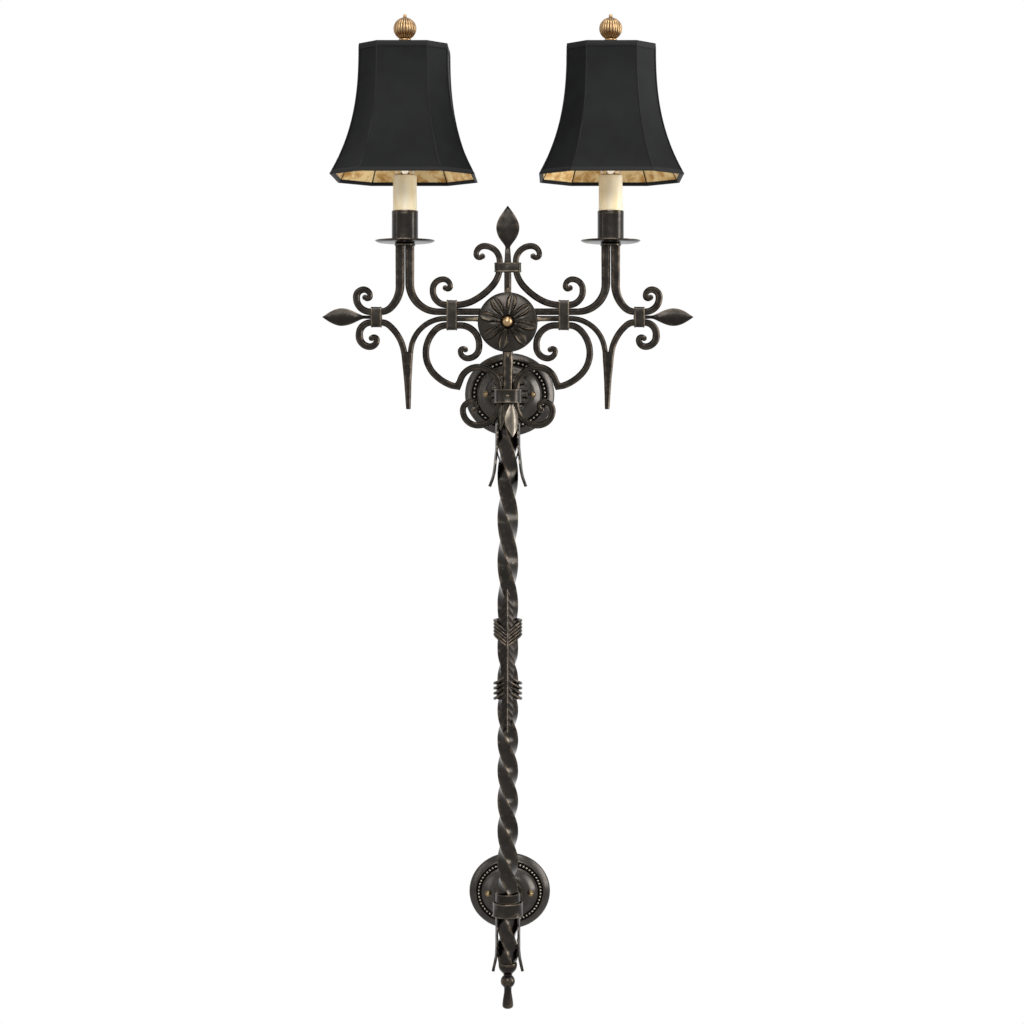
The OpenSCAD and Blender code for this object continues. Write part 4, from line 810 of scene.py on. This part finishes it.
# A reeded cushion round the root of the upper arm: level ribs cut to a circle
boss = {"radius": 27, "pitch": 8.4, "rib": 4.6}
ribs = []
for h in [boss["pitch"] * k for k in range(-2, 3)]:
    r = boss["rib"]
    reach = math.sqrt(boss["radius"] ** 2 - h * h) - r
    tip = [(reach, 1), (reach + r * 0.6, 0.8), (reach + r * 0.9, 0.3)]
    spots = [(-x, f) for x, f in reversed(tip)] + [(0, 1)] + tip
    ribs.append(tube([(x, -20.6, h) for x, f in spots], [r * f for x, f in spots], 16, 0.5))
upperArm = dented(wallArm(0, clampZ, midY + clampR + 2.0), 0.25, 10)
addPiece("upperWallArm", merged(upperArm, *ribs), "pressedIronPlate", ["upper_arm"])

# The lower arm ends in a strap ring that hangs on the shaft above the band
ringZ = lowerPlateZ + 9.3
ringSection = [(13.75, 0.4, 0.1), (14.1, 0, 0.8), (15.8, 0, 0.9), (16.2, 0.4, 1), (16.15, 1.4, 0.2), (16.0, 2.6, 0),
               (16.0, 8.4, 0), (16.15, 9.6, 0.2), (16.2, 10.6, 1), (15.8, 11, 0.9), (14.1, 11, 0.8),
               (13.75, 10.6, 0.1)]
lowerArm = merged(wallArm(lowerPlateZ, lowerPlateZ, midY + 19.9), hoop(ringSection, ringZ, 64),
                  squareArm(barOutline(16, 11, 1.2), ringZ + 5.5, -95, -24.5, 24))
addPiece("lowerWallArm", dented(lowerArm, 0.25, 10), "oilRubbedIron", ["lower_arm"])
print("arms to the wall made")

# The veins of the long leaf are deep at both ends of it and faint between the bands
frontLeaf = {"topZ": -253, "length": 186, "lobe": 9.4, "ridgeY": -130.6, "fold": 0.58}
leafStops = [(0, 0.4), (0.04, 3.6), (0.1, 7.2), (0.17, 8.2), (0.26, 8.2), (0.36, 9.2), (0.46, 10), (0.56, 9.6),
             (0.66, 7.2), (0.72, 6.6), (0.8, 8.4), (0.87, 7.6), (0.94, 4.4), (1, 0.4)]


def frontHalf(t):
    for (a, wa), (b, wb) in zip(leafStops, leafStops[1:]):
        if t <= b:
            return wa + (wb - wa) * eased((t - a) / (b - a))


# A long pointed leaf folded along its rib: veins run down and outward, each to a tooth of the edge
def longLeaf():
    rings = []
    for i in range(251):
        t = i / 250
        down, widest = frontLeaf["length"] * t, frontHalf(t)
        z = frontLeaf["topZ"] - down
        strength = 0.2 + 0.55 * min(1, abs(t - 0.46) / 0.26)
        front = []
        for k in range(37):
            u = -1 + 2 * k / 36
            tooth = ((down - abs(u) * widest * 1.25) / frontLeaf["lobe"]) % 1
            x = u * widest * (1 - 0.14 * (1 - tooth) * abs(u) ** 3)
            rib = 0.9 * math.exp(-(x / 0.75) ** 2)
            vein = 0.5 * math.exp(-((tooth - 0.5) / 0.1) ** 2) * min(1, abs(x) / 2.5)
            valley = 0.35 * (0.5 - 0.5 * cosine(360 * tooth)) * min(1, abs(u) * 1.5)
            y = frontLeaf["ridgeY"] + frontLeaf["fold"] * abs(x) ** 1.1 - rib - (vein + valley) * strength
            front.append((x, y, z, min(1, rib * 1.2 if abs(x) < 0.9 else 0.15)))
        rings.append(front + [(x, y + 1.5, z, 0.1) for x, y, z, rub in reversed(front)])
    return skin(rings)


addPiece("longLeaf", longLeaf(), "oilRubbedIronLeaves", ["front_leaf"], sharp=50)

reeds = {"radius": 17.2, "core": 15.0, "coreIn": 14.1,
         "upper": {"z": -295.2, "pitch": 4.5, "count": 5, "apex": -14.5, "side": 1.9, "front": 1.5, "lift": 1.2,
                   "gap": 0},
         "lower": {"z": -377.0, "pitch": 6.6, "count": 4, "apex": 12.5, "side": 1.9, "front": 1.2, "lift": 0.6,
                   "gap": 0.22}}


# Reeds that run straight down to the front, or up to it, and level round the back
def reedBand(plan):
    parts, radius = [], reeds["radius"]
    for k in range(plan["count"]):
        z = plan["z"] - k * plan["pitch"]
        for side in (-1, 1):
            points, radii = [], []
            for i in range(19):
                share = plan["gap"] + (1 - plan["gap"]) * i / 18
                x = side * radius * share
                y = midY - math.sqrt(max(0, radius ** 2 - x * x)) - plan["lift"] * (1 - share)
                points.append((x, y, z + plan["apex"] * (1 - share)))
                radii.append(plan["front"] + (plan["side"] - plan["front"]) * share)
            points += [(side * radius * cosine(a), midY + radius * sine(a), z)
                       for a in [7.5 * i for i in range(1, 13)]]
            parts.append(tube(points, radii + [plan["side"]] * 12, 10, 0.55))
    low, high = plan["z"] - (plan["count"] - 1) * plan["pitch"] - 0.5, plan["z"] + 0.5
    core = [(reeds["coreIn"], low, 0), (reeds["core"], low, 0), (reeds["core"], high, 0), (reeds["coreIn"], high, 0)]
    return merged(*parts, hoop(core, 0, 45))


bands = merged(reedBand(reeds["upper"]), reedBand(reeds["lower"]))
addPiece("reededBands", dented(bands, 0.12, 6), "oilRubbedIronLeaves", ["reeded_bands"], sharp=60)

# Leaves seen on their edges, with lobes (x, z, y, size) that curl in towards the shaft
sideLeaves = {
    "upper": {"path": trace((14.54, -35.9, -90, 1.6),
                            [(0, 27.8, 1.6), (120, 6, 1.6), (0, 22, 1.6), (60, 14, 1.6), (0, 9, 1.6)], 2.2),
              "width": 19, "wave": 18, "curl": 1.2, "lobes": [(14.6, -64, -116, 0.9), (15.2, -76, -115, 0.95)]},
    "lower": {"path": trace((14.54, -664, -90, 1.6), [(0, 56.1, 1.6), (90, 12, 1.6), (0, 14, 1.6)], 2.2),
              "width": 15, "wave": 16, "curl": 1.0,
              "lobes": [(14.6, -706, -115, 0.6), (14.6, -714, -115.5, 0.7), (14.6, -723, -115, 0.75)]},
}


# The leaf follows a path in the plane of the bars, and its blade stands across it
def edgeLeaf(plan, halfThick=1.05):
    rings = []
    sweep = (-1, -0.8, -0.5, -0.2, 0, 0.2, 0.5, 0.8, 1)
    for i, (x, z, heading, w) in enumerate(plan["path"]):
        t = i / (len(plan["path"]) - 1)
        half = max(0.6, plan["width"] / 2 * (math.sin(math.pi * (0.16 + 0.84 * t)) ** 0.6 if t < 1 else 0.05))
        half *= 0.86 + 0.16 * math.sin(2 * math.pi * i * 2.2 / plan["wave"])
        sections = [(s, halfThick - plan["curl"] * s * s + 0.7 * math.exp(-(s * 6) ** 2),
                     0.55 if abs(s) > 0.9 or s == 0 else 0.2)
                    for s in sweep]
        sections += [(s, -halfThick - plan["curl"] * s * s, 0.55 if abs(s) > 0.9 else 0.1) for s in reversed(sweep)]
        rings.append([(x - sine(heading) * out, midY + s * half, z + cosine(heading) * out, rub)
                      for s, out, rub in sections])
    return skin(rings)


def curledLobe(x, z, y, size):
    path = [(0.2, 0, 4), (-0.9, -0.4, 1), (-2.2, -0.9, -2.5), (-3.6, -1.2, -6.5), (-4.4, -1.3, -10),
            (-4.2, -1.2, -12.5)]
    radii = [w * size * 0.62 for w in (1.0, 1.7, 2.0, 1.7, 1.1, 0.4)]
    return tube([(x + a * size, y + b * size, z + c * size) for a, b, c in path], radii, 8, 0.35)


for name, plan in sideLeaves.items():
    leaf = merged(edgeLeaf(plan), *[curledLobe(*lobe) for lobe in plan["lobes"]])
    addPiece(name + "SideLeaves", dented(pair(leaf), 0.2, 7), "oilRubbedIron", [name + "_side_leaves"])

footProfile = [(2, 0, 0), (10.4, 0, 0.4), (11.8, -0.7, 0.9), (12.15, -2, 0.8), (12.1, -5.5, 0.2),
               (11.3, -8.4, 0.15), (9.4, -11.2, 0.15), (7.2, -13.4, 0.2), (5.9, -15.0, 0.3)]
footProfile += [(9.4 * cosine(a), -24.5 + 9 * sine(a), 0.35 + 0.4 * (abs(a) < 20)) for a in range(54, -58, -9)]
footProfile += [(5.0, -33.2, 0.3), (4.8, -35, 0.2), (4.9, -39, 0.2), (5.7, -44, 0.3), (6.7, -50, 0.5),
                (7.2, -54.5, 0.8), (7.2, -56.6, 0.9), (6.5, -58.3, 0.8), (4.6, -59.7, 0.6), (1.2, -60.4, 0.5)]
bottomFinial = dented(lathe(footProfile, (0, midY, shaftPlan["bottomZ"]), "z", 56), 0.12, 8)
addPiece("bottomFinial", bottomFinial, "oilRubbedIron", ["bottom_finial"])
print("leaves and foot made")

panProfile = [(5.3, 0.25, 0), (13.1, 0.25, 0.6), (13.5, 0.7, 0.9), (13.5, 2.6, 0.5), (13.0, 3.4, 0.8),
              (12.0, 3.9, 0.2), (12.4, 4.3, 0.1), (30, 4.2, 0.1), (33.5, 4.5, 0.1), (36.6, 5.4, 0.3),
              (38.5, 6.5, 0.9), (38.85, 6.9, 1), (38.7, 7.5, 1), (38.2, 7.4, 0.8), (36.2, 6.6, 0.2),
              (33.0, 5.9, 0.1), (29, 5.75, 0.1), (5.3, 5.75, 0.1)]
cupProfile = [(5.2, 0.05, 0), (16.9, 0.05, 0.4), (17.2, 0.6, 0.8), (17.15, 3, 0.1), (17.1, 34.8, 0.05),
              (17.2, 35.6, 0.3), (17.25, 36.1, 0.7), (17.1, 36.6, 0.2), (17.2, 37.2, 0.2), (17.2, 39.4, 0.6),
              (16.9, 39.95, 0.95), (16.2, 39.9, 0.8), (15.95, 39.2, 0.2), (15.95, 2.0, 0), (5.2, 2.0, 0)]
sleeveProfile = [(14.75, 0.05, 0), (15.5, 0.05, 0.2), (15.65, 0.6, 0), (15.62, 20, 0), (15.55, 60, 0),
                 (15.5, 81, 0), (15.45, 83.0, 0.4), (15.2, 83.8, 0.6), (14.95, 83.9, 0.5), (14.75, 83.4, 0.1),
                 (14.72, 60, 0), (14.72, 4, 0)]


def waxRuns(a, radius, height):
    if radius < 15:
        return radius, 0
    run = 0.22 * noise.noise(Vector((math.cos(a) * 2.4, math.sin(a) * 2.4, height / 60)))
    return radius + min(0.12, run), 0


for prefix, x in lights:
    pan = dented(lathe(panProfile, (x, midY, lightZ), "z", 96), 0.16, 14)
    addPiece(prefix + "dripPan", pan, "oilRubbedIron", [prefix + "drip_pan"])
    cup = dented(lathe(cupProfile, (x, midY, lightZ + 5.8), "z", 72), 0.06, 14)
    addPiece(prefix + "candleCup", cup, "twistedIronShaft", [prefix + "candle_cup"])
    candle = lathe(sleeveProfile, (x, midY, lightZ + 7.8), "z", 72, waxRuns)
    addPiece(prefix + "waxSleeve", candle, "dippedWaxSleeve", [prefix + "sleeve"])
print("candles made")

lampPlan = {"glassZ": 92.5, "glassH": 78, "glassR": 17.5, "wall": 0.7, "wire": 0.3}


def glassAt(t):
    if t < 0.3:
        return lampPlan["glassR"] * (0.66 + 0.34 * sine(t / 0.3 * 90))
    return lampPlan["glassR"] * cosine((t - 0.3) / 0.7 * 88) ** 0.72 + 0.35 * (1 - t)


# The filament goes up and down between two rings of hooks, on two lead wires
def filament():
    low = [(6 * cosine(60 * k), 6 * sine(60 * k), 30) for k in range(7)]
    high = [(7 * cosine(60 * k + 30), 7 * sine(60 * k + 30), 58) for k in range(6)]
    wires = []
    for k in range(6):
        wires += [tube([low[k], high[k]], lampPlan["wire"], 6), tube([high[k], low[k + 1]], lampPlan["wire"], 6)]
    return merged(*wires, *[tube([(1.4 * side, 0, 22), (6 * side, 0, 30)], 0.35, 6) for side in (1, -1)])


glassOut = [(max(0.25, glassAt(i / 36)), lampPlan["glassH"] * i / 36, 0.5) for i in range(37)]
glassIn = [(max(0.2, r - lampPlan["wall"]), min(h, lampPlan["glassH"] - 0.8), 0.5)
           for r, h, rub in reversed(glassOut)]
stemProfile = [(0.5, 0.8, 0), (6.5, 0.8, 0), (5.2, 5, 0), (3.0, 12, 0), (2.2, 24, 0), (2.4, 26, 0), (0.5, 27, 0)]
for prefix, x in lights:
    at = (x, midY, lightZ + lampPlan["glassZ"])
    addPiece(prefix + "lampGlass", lathe(glassOut + glassIn, at, "z", 48), "blownSodaGlass", [prefix + "lamp_glass"],
             prefix + "lamp", 80)
    addPiece(prefix + "lampStem", lathe(stemProfile, at, "z", 24), "blownSodaGlass", (), prefix + "lamp")
    addPiece(prefix + "lampFilament", moved(filament(), *at), "zincPlatedSteel", (), prefix + "lamp")
print("lamps made")

shadePlan = {"bottom": 92, "top": 56.5, "height": 170, "rise": 88.6, "flat": 0.565, "flare": 2.6, "wall": 1.5,
             "drawIn": 0.9, "topBand": 7.4, "bandLift": 0.9, "pipeR": 0.9, "ribR": 0.8}


# Half width of the shade at a height
def shadeHalf(z):
    t = max(0, z) / shadePlan["height"]
    return shadePlan["top"] + (shadePlan["bottom"] - shadePlan["top"]) * max(0, 1 - t) ** shadePlan["flare"]


def shadeCorners(w):
    a = w * shadePlan["flat"]
    return [(a, -w), (w, -a), (w, a), (a, w), (-a, w), (-w, a), (-w, -a), (-a, -w)]


# One level of the shade: points round the octagon, each side drawn in between its ribs
def shadeRing(w, z, drawIn, rub, across=8):
    ring = []
    corners = shadeCorners(w)
    for (ax, ay), (bx, by) in zip(corners, corners[1:] + corners[:1]):
        nx, ny = by - ay, ax - bx
        size = math.hypot(nx, ny)
        for i in range(across):
            f = i / across
            pull = drawIn * math.sin(math.pi * f)
            ring.append((ax + (bx - ax) * f - nx / size * pull, ay + (by - ay) * f - ny / size * pull, z, rub))
    return ring


# A shell of the shade between two offsets from its outline
def shadeShell(outside, inside, margin):
    shells = []
    for offset in (outside, inside):
        rings = []
        for i in range(45):
            z = margin + (shadePlan["height"] - 2 * margin) * i / 44
            t = z / shadePlan["height"]
            pull = shadePlan["drawIn"] * (math.sin(math.pi * t) ** 0.5 if 0 < t < 1 else 0)
            rings.append(shadeRing(shadeHalf(z) + offset, z, pull, 0.2))
        shells.append(rings)
    return skin(shells[0] + shells[1][::-1], "joined")


# A binding round the shade. Its section is (offset from the shade's outline, height).
def binding(section, drawIn):
    return skin([shadeRing(shadeHalf(z) + offset, z, drawIn, 0.5) for offset, z in section], "joined")


# A cord or rib along each corner
def cornerCords(margin, steps, offset, radius, rub):
    levels = [margin + (shadePlan["height"] - 2 * margin) * i / steps for i in range(steps + 1)]
    return merged(*[tube([(*shadeCorners(shadeHalf(z) + offset)[k], z) for z in levels], radius, 6, rub)
                    for k in range(8)])


topBandLevels = [shadePlan["height"] - shadePlan["topBand"] + (shadePlan["topBand"] + 0.2) * i / 5 for i in range(6)]
topBand = [(shadePlan["bandLift"] * (0.55 if i in (0, 5) else 1), z) for i, z in enumerate(topBandLevels)]
topBand += [(-0.1, z) for z in reversed(topBandLevels)]
hem = [(0.9, 0), (1.2, 1.4), (0.9, 4.8), (0.2, 5.4), (-1.5, 3.8), (-2.2, 3.4), (-2.2, 0.6), (-1.5, -0.5), (0.2, -0.7)]
shadeParts = {  # shape, finish, angle from which an edge is sharp
    "shadeCloth": (shadeShell(0, -0.9, 0), "blackSateenOnCard", 25),
    "shadeLining": (shadeShell(-0.95, -1.5, 0.6), "crumpledGoldFoil", 25),
    "shadeTopBand": (binding(topBand, 0.15), "blackGrosgrain", 25),
    "shadeHem": (binding(hem, 0.1), "blackGrosgrain", 25),
    "shadePiping": (cornerCords(4, 40, 0.3, shadePlan["pipeR"], 0.3), "blackGrosgrain", 30),
    "shadeRibs": (cornerCords(3, 30, -1.7, shadePlan["ribR"], 0.2), "blackGrosgrain", 30),
}
for prefix, x in lights:
    for name, (part, finish, sharp) in shadeParts.items():
        nodes = [prefix + "shade"] if name == "shadeCloth" else ()
        addPiece(prefix + name, moved(part, x, midY, lightZ + shadePlan["rise"]), finish, nodes,
                 prefix + "shade_body", sharp)
print("shades made")

carrierPlan = {"hubZ": 254.2, "ringZ": 256.2, "wire": 1.2, "spoke": 1.5, "ringR": 1.1}


# The clip that grips the lamp, its hub and stud, and the spokes and ring inside the shade's top
def shadeCarrier():
    wire, hubZ, ringZ = carrierPlan["wire"], carrierPlan["hubZ"], carrierPlan["ringZ"]
    lampZ, lampH, inside = lampPlan["glassZ"], lampPlan["glassH"], shadePlan["top"] - shadePlan["wall"]
    parts = []
    for side in (-1, 1):
        shares = [0.14 + 0.86 * i / 30 for i in range(31)]
        points = [(side * (glassAt(min(t, 0.995)) + 0.35 + wire), 0, lampZ + lampH * t + 8 * max(0, t - 0.9))
                  for t in shares]
        parts.append(tube(points + [(0, 0, lampZ + lampH + 0.5 + wire)], wire, 8))
    top = lampZ + lampH + 1.5
    parts.append(lathe([(0.4, top, 0.3), (2, top, 0.5), (2, hubZ, 0.5), (0.4, hubZ, 0.3)], steps=20))
    hub = [(1, 0, 0.3), (6.6, 0, 0.6), (7, 0.4, 0.9), (7, 4, 0.9), (6.4, 4.5, 0.8), (3.3, 4.5, 0.3), (3.15, 5, 0.4),
           (3.15, 18.4, 0.5), (2.6, 18.8, 0.6), (0.4, 18.8, 0.5)]
    parts.append(lathe(hub, (0, 0, hubZ), steps=32))
    reach = inside - 0.15
    for a in range(0, 360, 90):
        radii = [5 + (reach - 5) * i / 16 for i in range(17)]
        spoke = [(cosine(a) * r, sine(a) * r, ringZ - 0.7 * math.sin(math.pi * r / reach)) for r in radii]
        parts.append(tube(spoke, carrierPlan["spoke"]))
    rings = []
    for x, y, z, rub in shadeRing(inside - 1.2, ringZ, 0, 0.4, 4):
        out = Vector((x, y, 0)).normalized() * carrierPlan["ringR"]
        rings.append([(x + out.x * cosine(q), y + out.y * cosine(q), z + sine(q) * carrierPlan["ringR"], rub)
                      for q in range(0, 360, 45)])
    return merged(*parts, skin(rings, "joined"))


for prefix, x in lights:
    addPiece(prefix + "shadeCarrier", moved(shadeCarrier(), x, midY, lightZ), "antiqueBrass",
             [prefix + "shade_carrier"], prefix + "shade_body")

finialPlan = {"z": 259, "ballZ": 24.25, "flutedFrom": 11.4, "flutedTo": 38.2, "flutes": 24, "fluteDepth": 0.88}


def gadroon(a, radius, height):
    if height < finialPlan["flutedFrom"] or height > finialPlan["flutedTo"]:
        return radius, 0
    wave = abs(math.cos(a * finialPlan["flutes"] / 2))
    fade = min(1, (radius - 2) / 5)
    return radius - finialPlan["fluteDepth"] * (1 - wave) * fade, (wave - 0.62) * 0.85 * fade


ballZ = finialPlan["ballZ"]
finialProfile = [(3.4, 0, 0), (4.9, 0, 0.3), (5.2, 0.4, 0.7), (5.0, 3, 0.3), (4.6, 6.8, 0.3), (5.6, 7.8, 0.3),
                 (7.9, 8.3, 0.6), (8.3, 8.9, 0.9), (8.3, 10.0, 0.9), (7.8, 10.6, 0.6), (6.2, 11.0, 0.1)]
finialProfile += [(15 * cosine(a), ballZ + 14.55 * sine(a), 0.5) for a in range(-63, 78, 6)]
finialProfile += [(r, ballZ + h, rub) for r, h, rub in (
    (3.2, 14.5, 0.2), (2.3, 14.9, 0.3), (2.2, 15.8, 0.5), (2.5, 16.8, 0.8), (2.3, 17.8, 0.9), (1.4, 18.7, 0.9),
    (0.3, 19, 0.9))]
for prefix, x in lights:
    finial = moved(lathe(finialProfile, steps=240, ripple=gadroon), x, midY, lightZ + finialPlan["z"])
    addPiece(prefix + "shadeFinial", finial, "castBrassFinials", [prefix + "finial"], prefix + "finial_body",
             60)
print("carriers and finials made")

# The CAD nodes that stay keep their shape and get their own finish
kept = {"zincPlatedSteel": ("upper_crossbar", "lower_crossbar", "upper_fasteners", "lower_fasteners"),
        "mouldedPhenolic": ("left_lampholder", "right_lampholder"), "antiqueBrass": ("left_lamp_base",
                                                                                     "right_lamp_base")}
for finish, names in kept.items():
    for name in names:
        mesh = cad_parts[name].data
        mesh.materials.clear()
        mesh.materials.append(finishes[finish])
print("kept nodes dressed")


# Shows plain white to the camera's own, reflected and refracted rays, and the shaded one to the rest
def whiteToTheEye(tree, shaded, white, output):
    tree.nodes.clear()
    rays = addNode(tree, "ShaderNodeLightPath").outputs
    seen = addNode(tree, "ShaderNodeMath", {"operation": "MAXIMUM"}, {0: rays["Is Camera Ray"],
                                                                      1: rays["Is Glossy Ray"]})
    seenAll = addNode(tree, "ShaderNodeMath", {"operation": "MAXIMUM"}, {0: seen, 1: rays["Is Transmission Ray"]})
    mix = addNode(tree, "ShaderNodeMixShader", None, {0: seenAll, 1: addNode(tree, *shaded),
                                                      2: addNode(tree, *white)})
    addNode(tree, output, None, {"Surface": mix})


scene = bpy.context.scene
scene.view_settings.view_transform = "Standard"
plainWhite = {"Color": [1, 1, 1, 1], "Strength": 1.0}
floorMaterial = bpy.data.materials.new("paleStudioFloor")
floorMaterial.use_nodes = True
whiteToTheEye(floorMaterial.node_tree, ("ShaderNodeBsdfDiffuse", {"Color": linear("#f4f4f4")}),
              ("ShaderNodeEmission", plainWhite),
              "ShaderNodeOutputMaterial")
floorMesh = bpy.data.meshes.new("studioFloor")
floorMesh.from_pydata([(-8, -8, -0.95), (8, -8, -0.95), (8, 8, -0.95), (-8, 8, -0.95)], [], [[0, 1, 2, 3]])
floorMesh.materials.append(floorMaterial)
floor = bpy.data.objects.new("studioFloor", floorMesh)
scene.collection.objects.link(floor)

scene.world = bpy.data.worlds.new("studioAir")
scene.world.use_nodes = True
whiteToTheEye(scene.world.node_tree, ("ShaderNodeBackground", {"Color": linear("#f2f3f6"), "Strength": 0.28}),
              ("ShaderNodeBackground", plainWhite), "ShaderNodeOutputWorld")

lamps = {  # where each panel stands and what it faces, its size in metres, its watts
    "edgePanel": ((2.3, -0.4, 0.4), (0, -0.11, -0.05), (0.85, 2.4), 54),
    "topPanel": ((0.3, -0.8, 2.3), (0, -0.11, 0.1), (1.5, 0.8), 26),
    "frontPanel": ((-0.1, -3.2, 1.7), (0, -0.11, 0), (2.4, 1.4), 92),
    "leftPanel": ((-2.0, -0.6, 0.4), (0, -0.11, -0.05), (0.2, 1.6), 4),
}
for name, (at, target, size, watts) in lamps.items():
    light = bpy.data.lights.new(name, "AREA")
    light.shape = "RECTANGLE"
    light.size, light.size_y = size
    light.energy = watts
    lamp = bpy.data.objects.new(name, light)
    lamp.location = at
    lamp.rotation_euler = (Vector(target) - Vector(at)).to_track_quat("-Z", "Y").to_euler()
    scene.collection.objects.link(lamp)

# The photograph's frame: pixels on a side, focal length and the point straight ahead, in pixels
photo = {"side": 1024, "focal": 2180, "aheadX": 560, "aheadY": 415, "at": (0.068, -2.95, -0.0277)}
cameraData = bpy.data.cameras.new("photoCamera")
cameraData.sensor_width = 36
cameraData.lens = photo["focal"] / photo["side"] * 36
cameraData.shift_x = -(photo["aheadX"] - photo["side"] / 2) / photo["side"]
cameraData.shift_y = (photo["aheadY"] - photo["side"] / 2) / photo["side"]
camera = bpy.data.objects.new("photoCamera", cameraData)
camera.location = photo["at"]
camera.rotation_euler = (math.radians(90), 0, 0)
scene.collection.objects.link(camera)
scene.camera = camera
print("studio made")
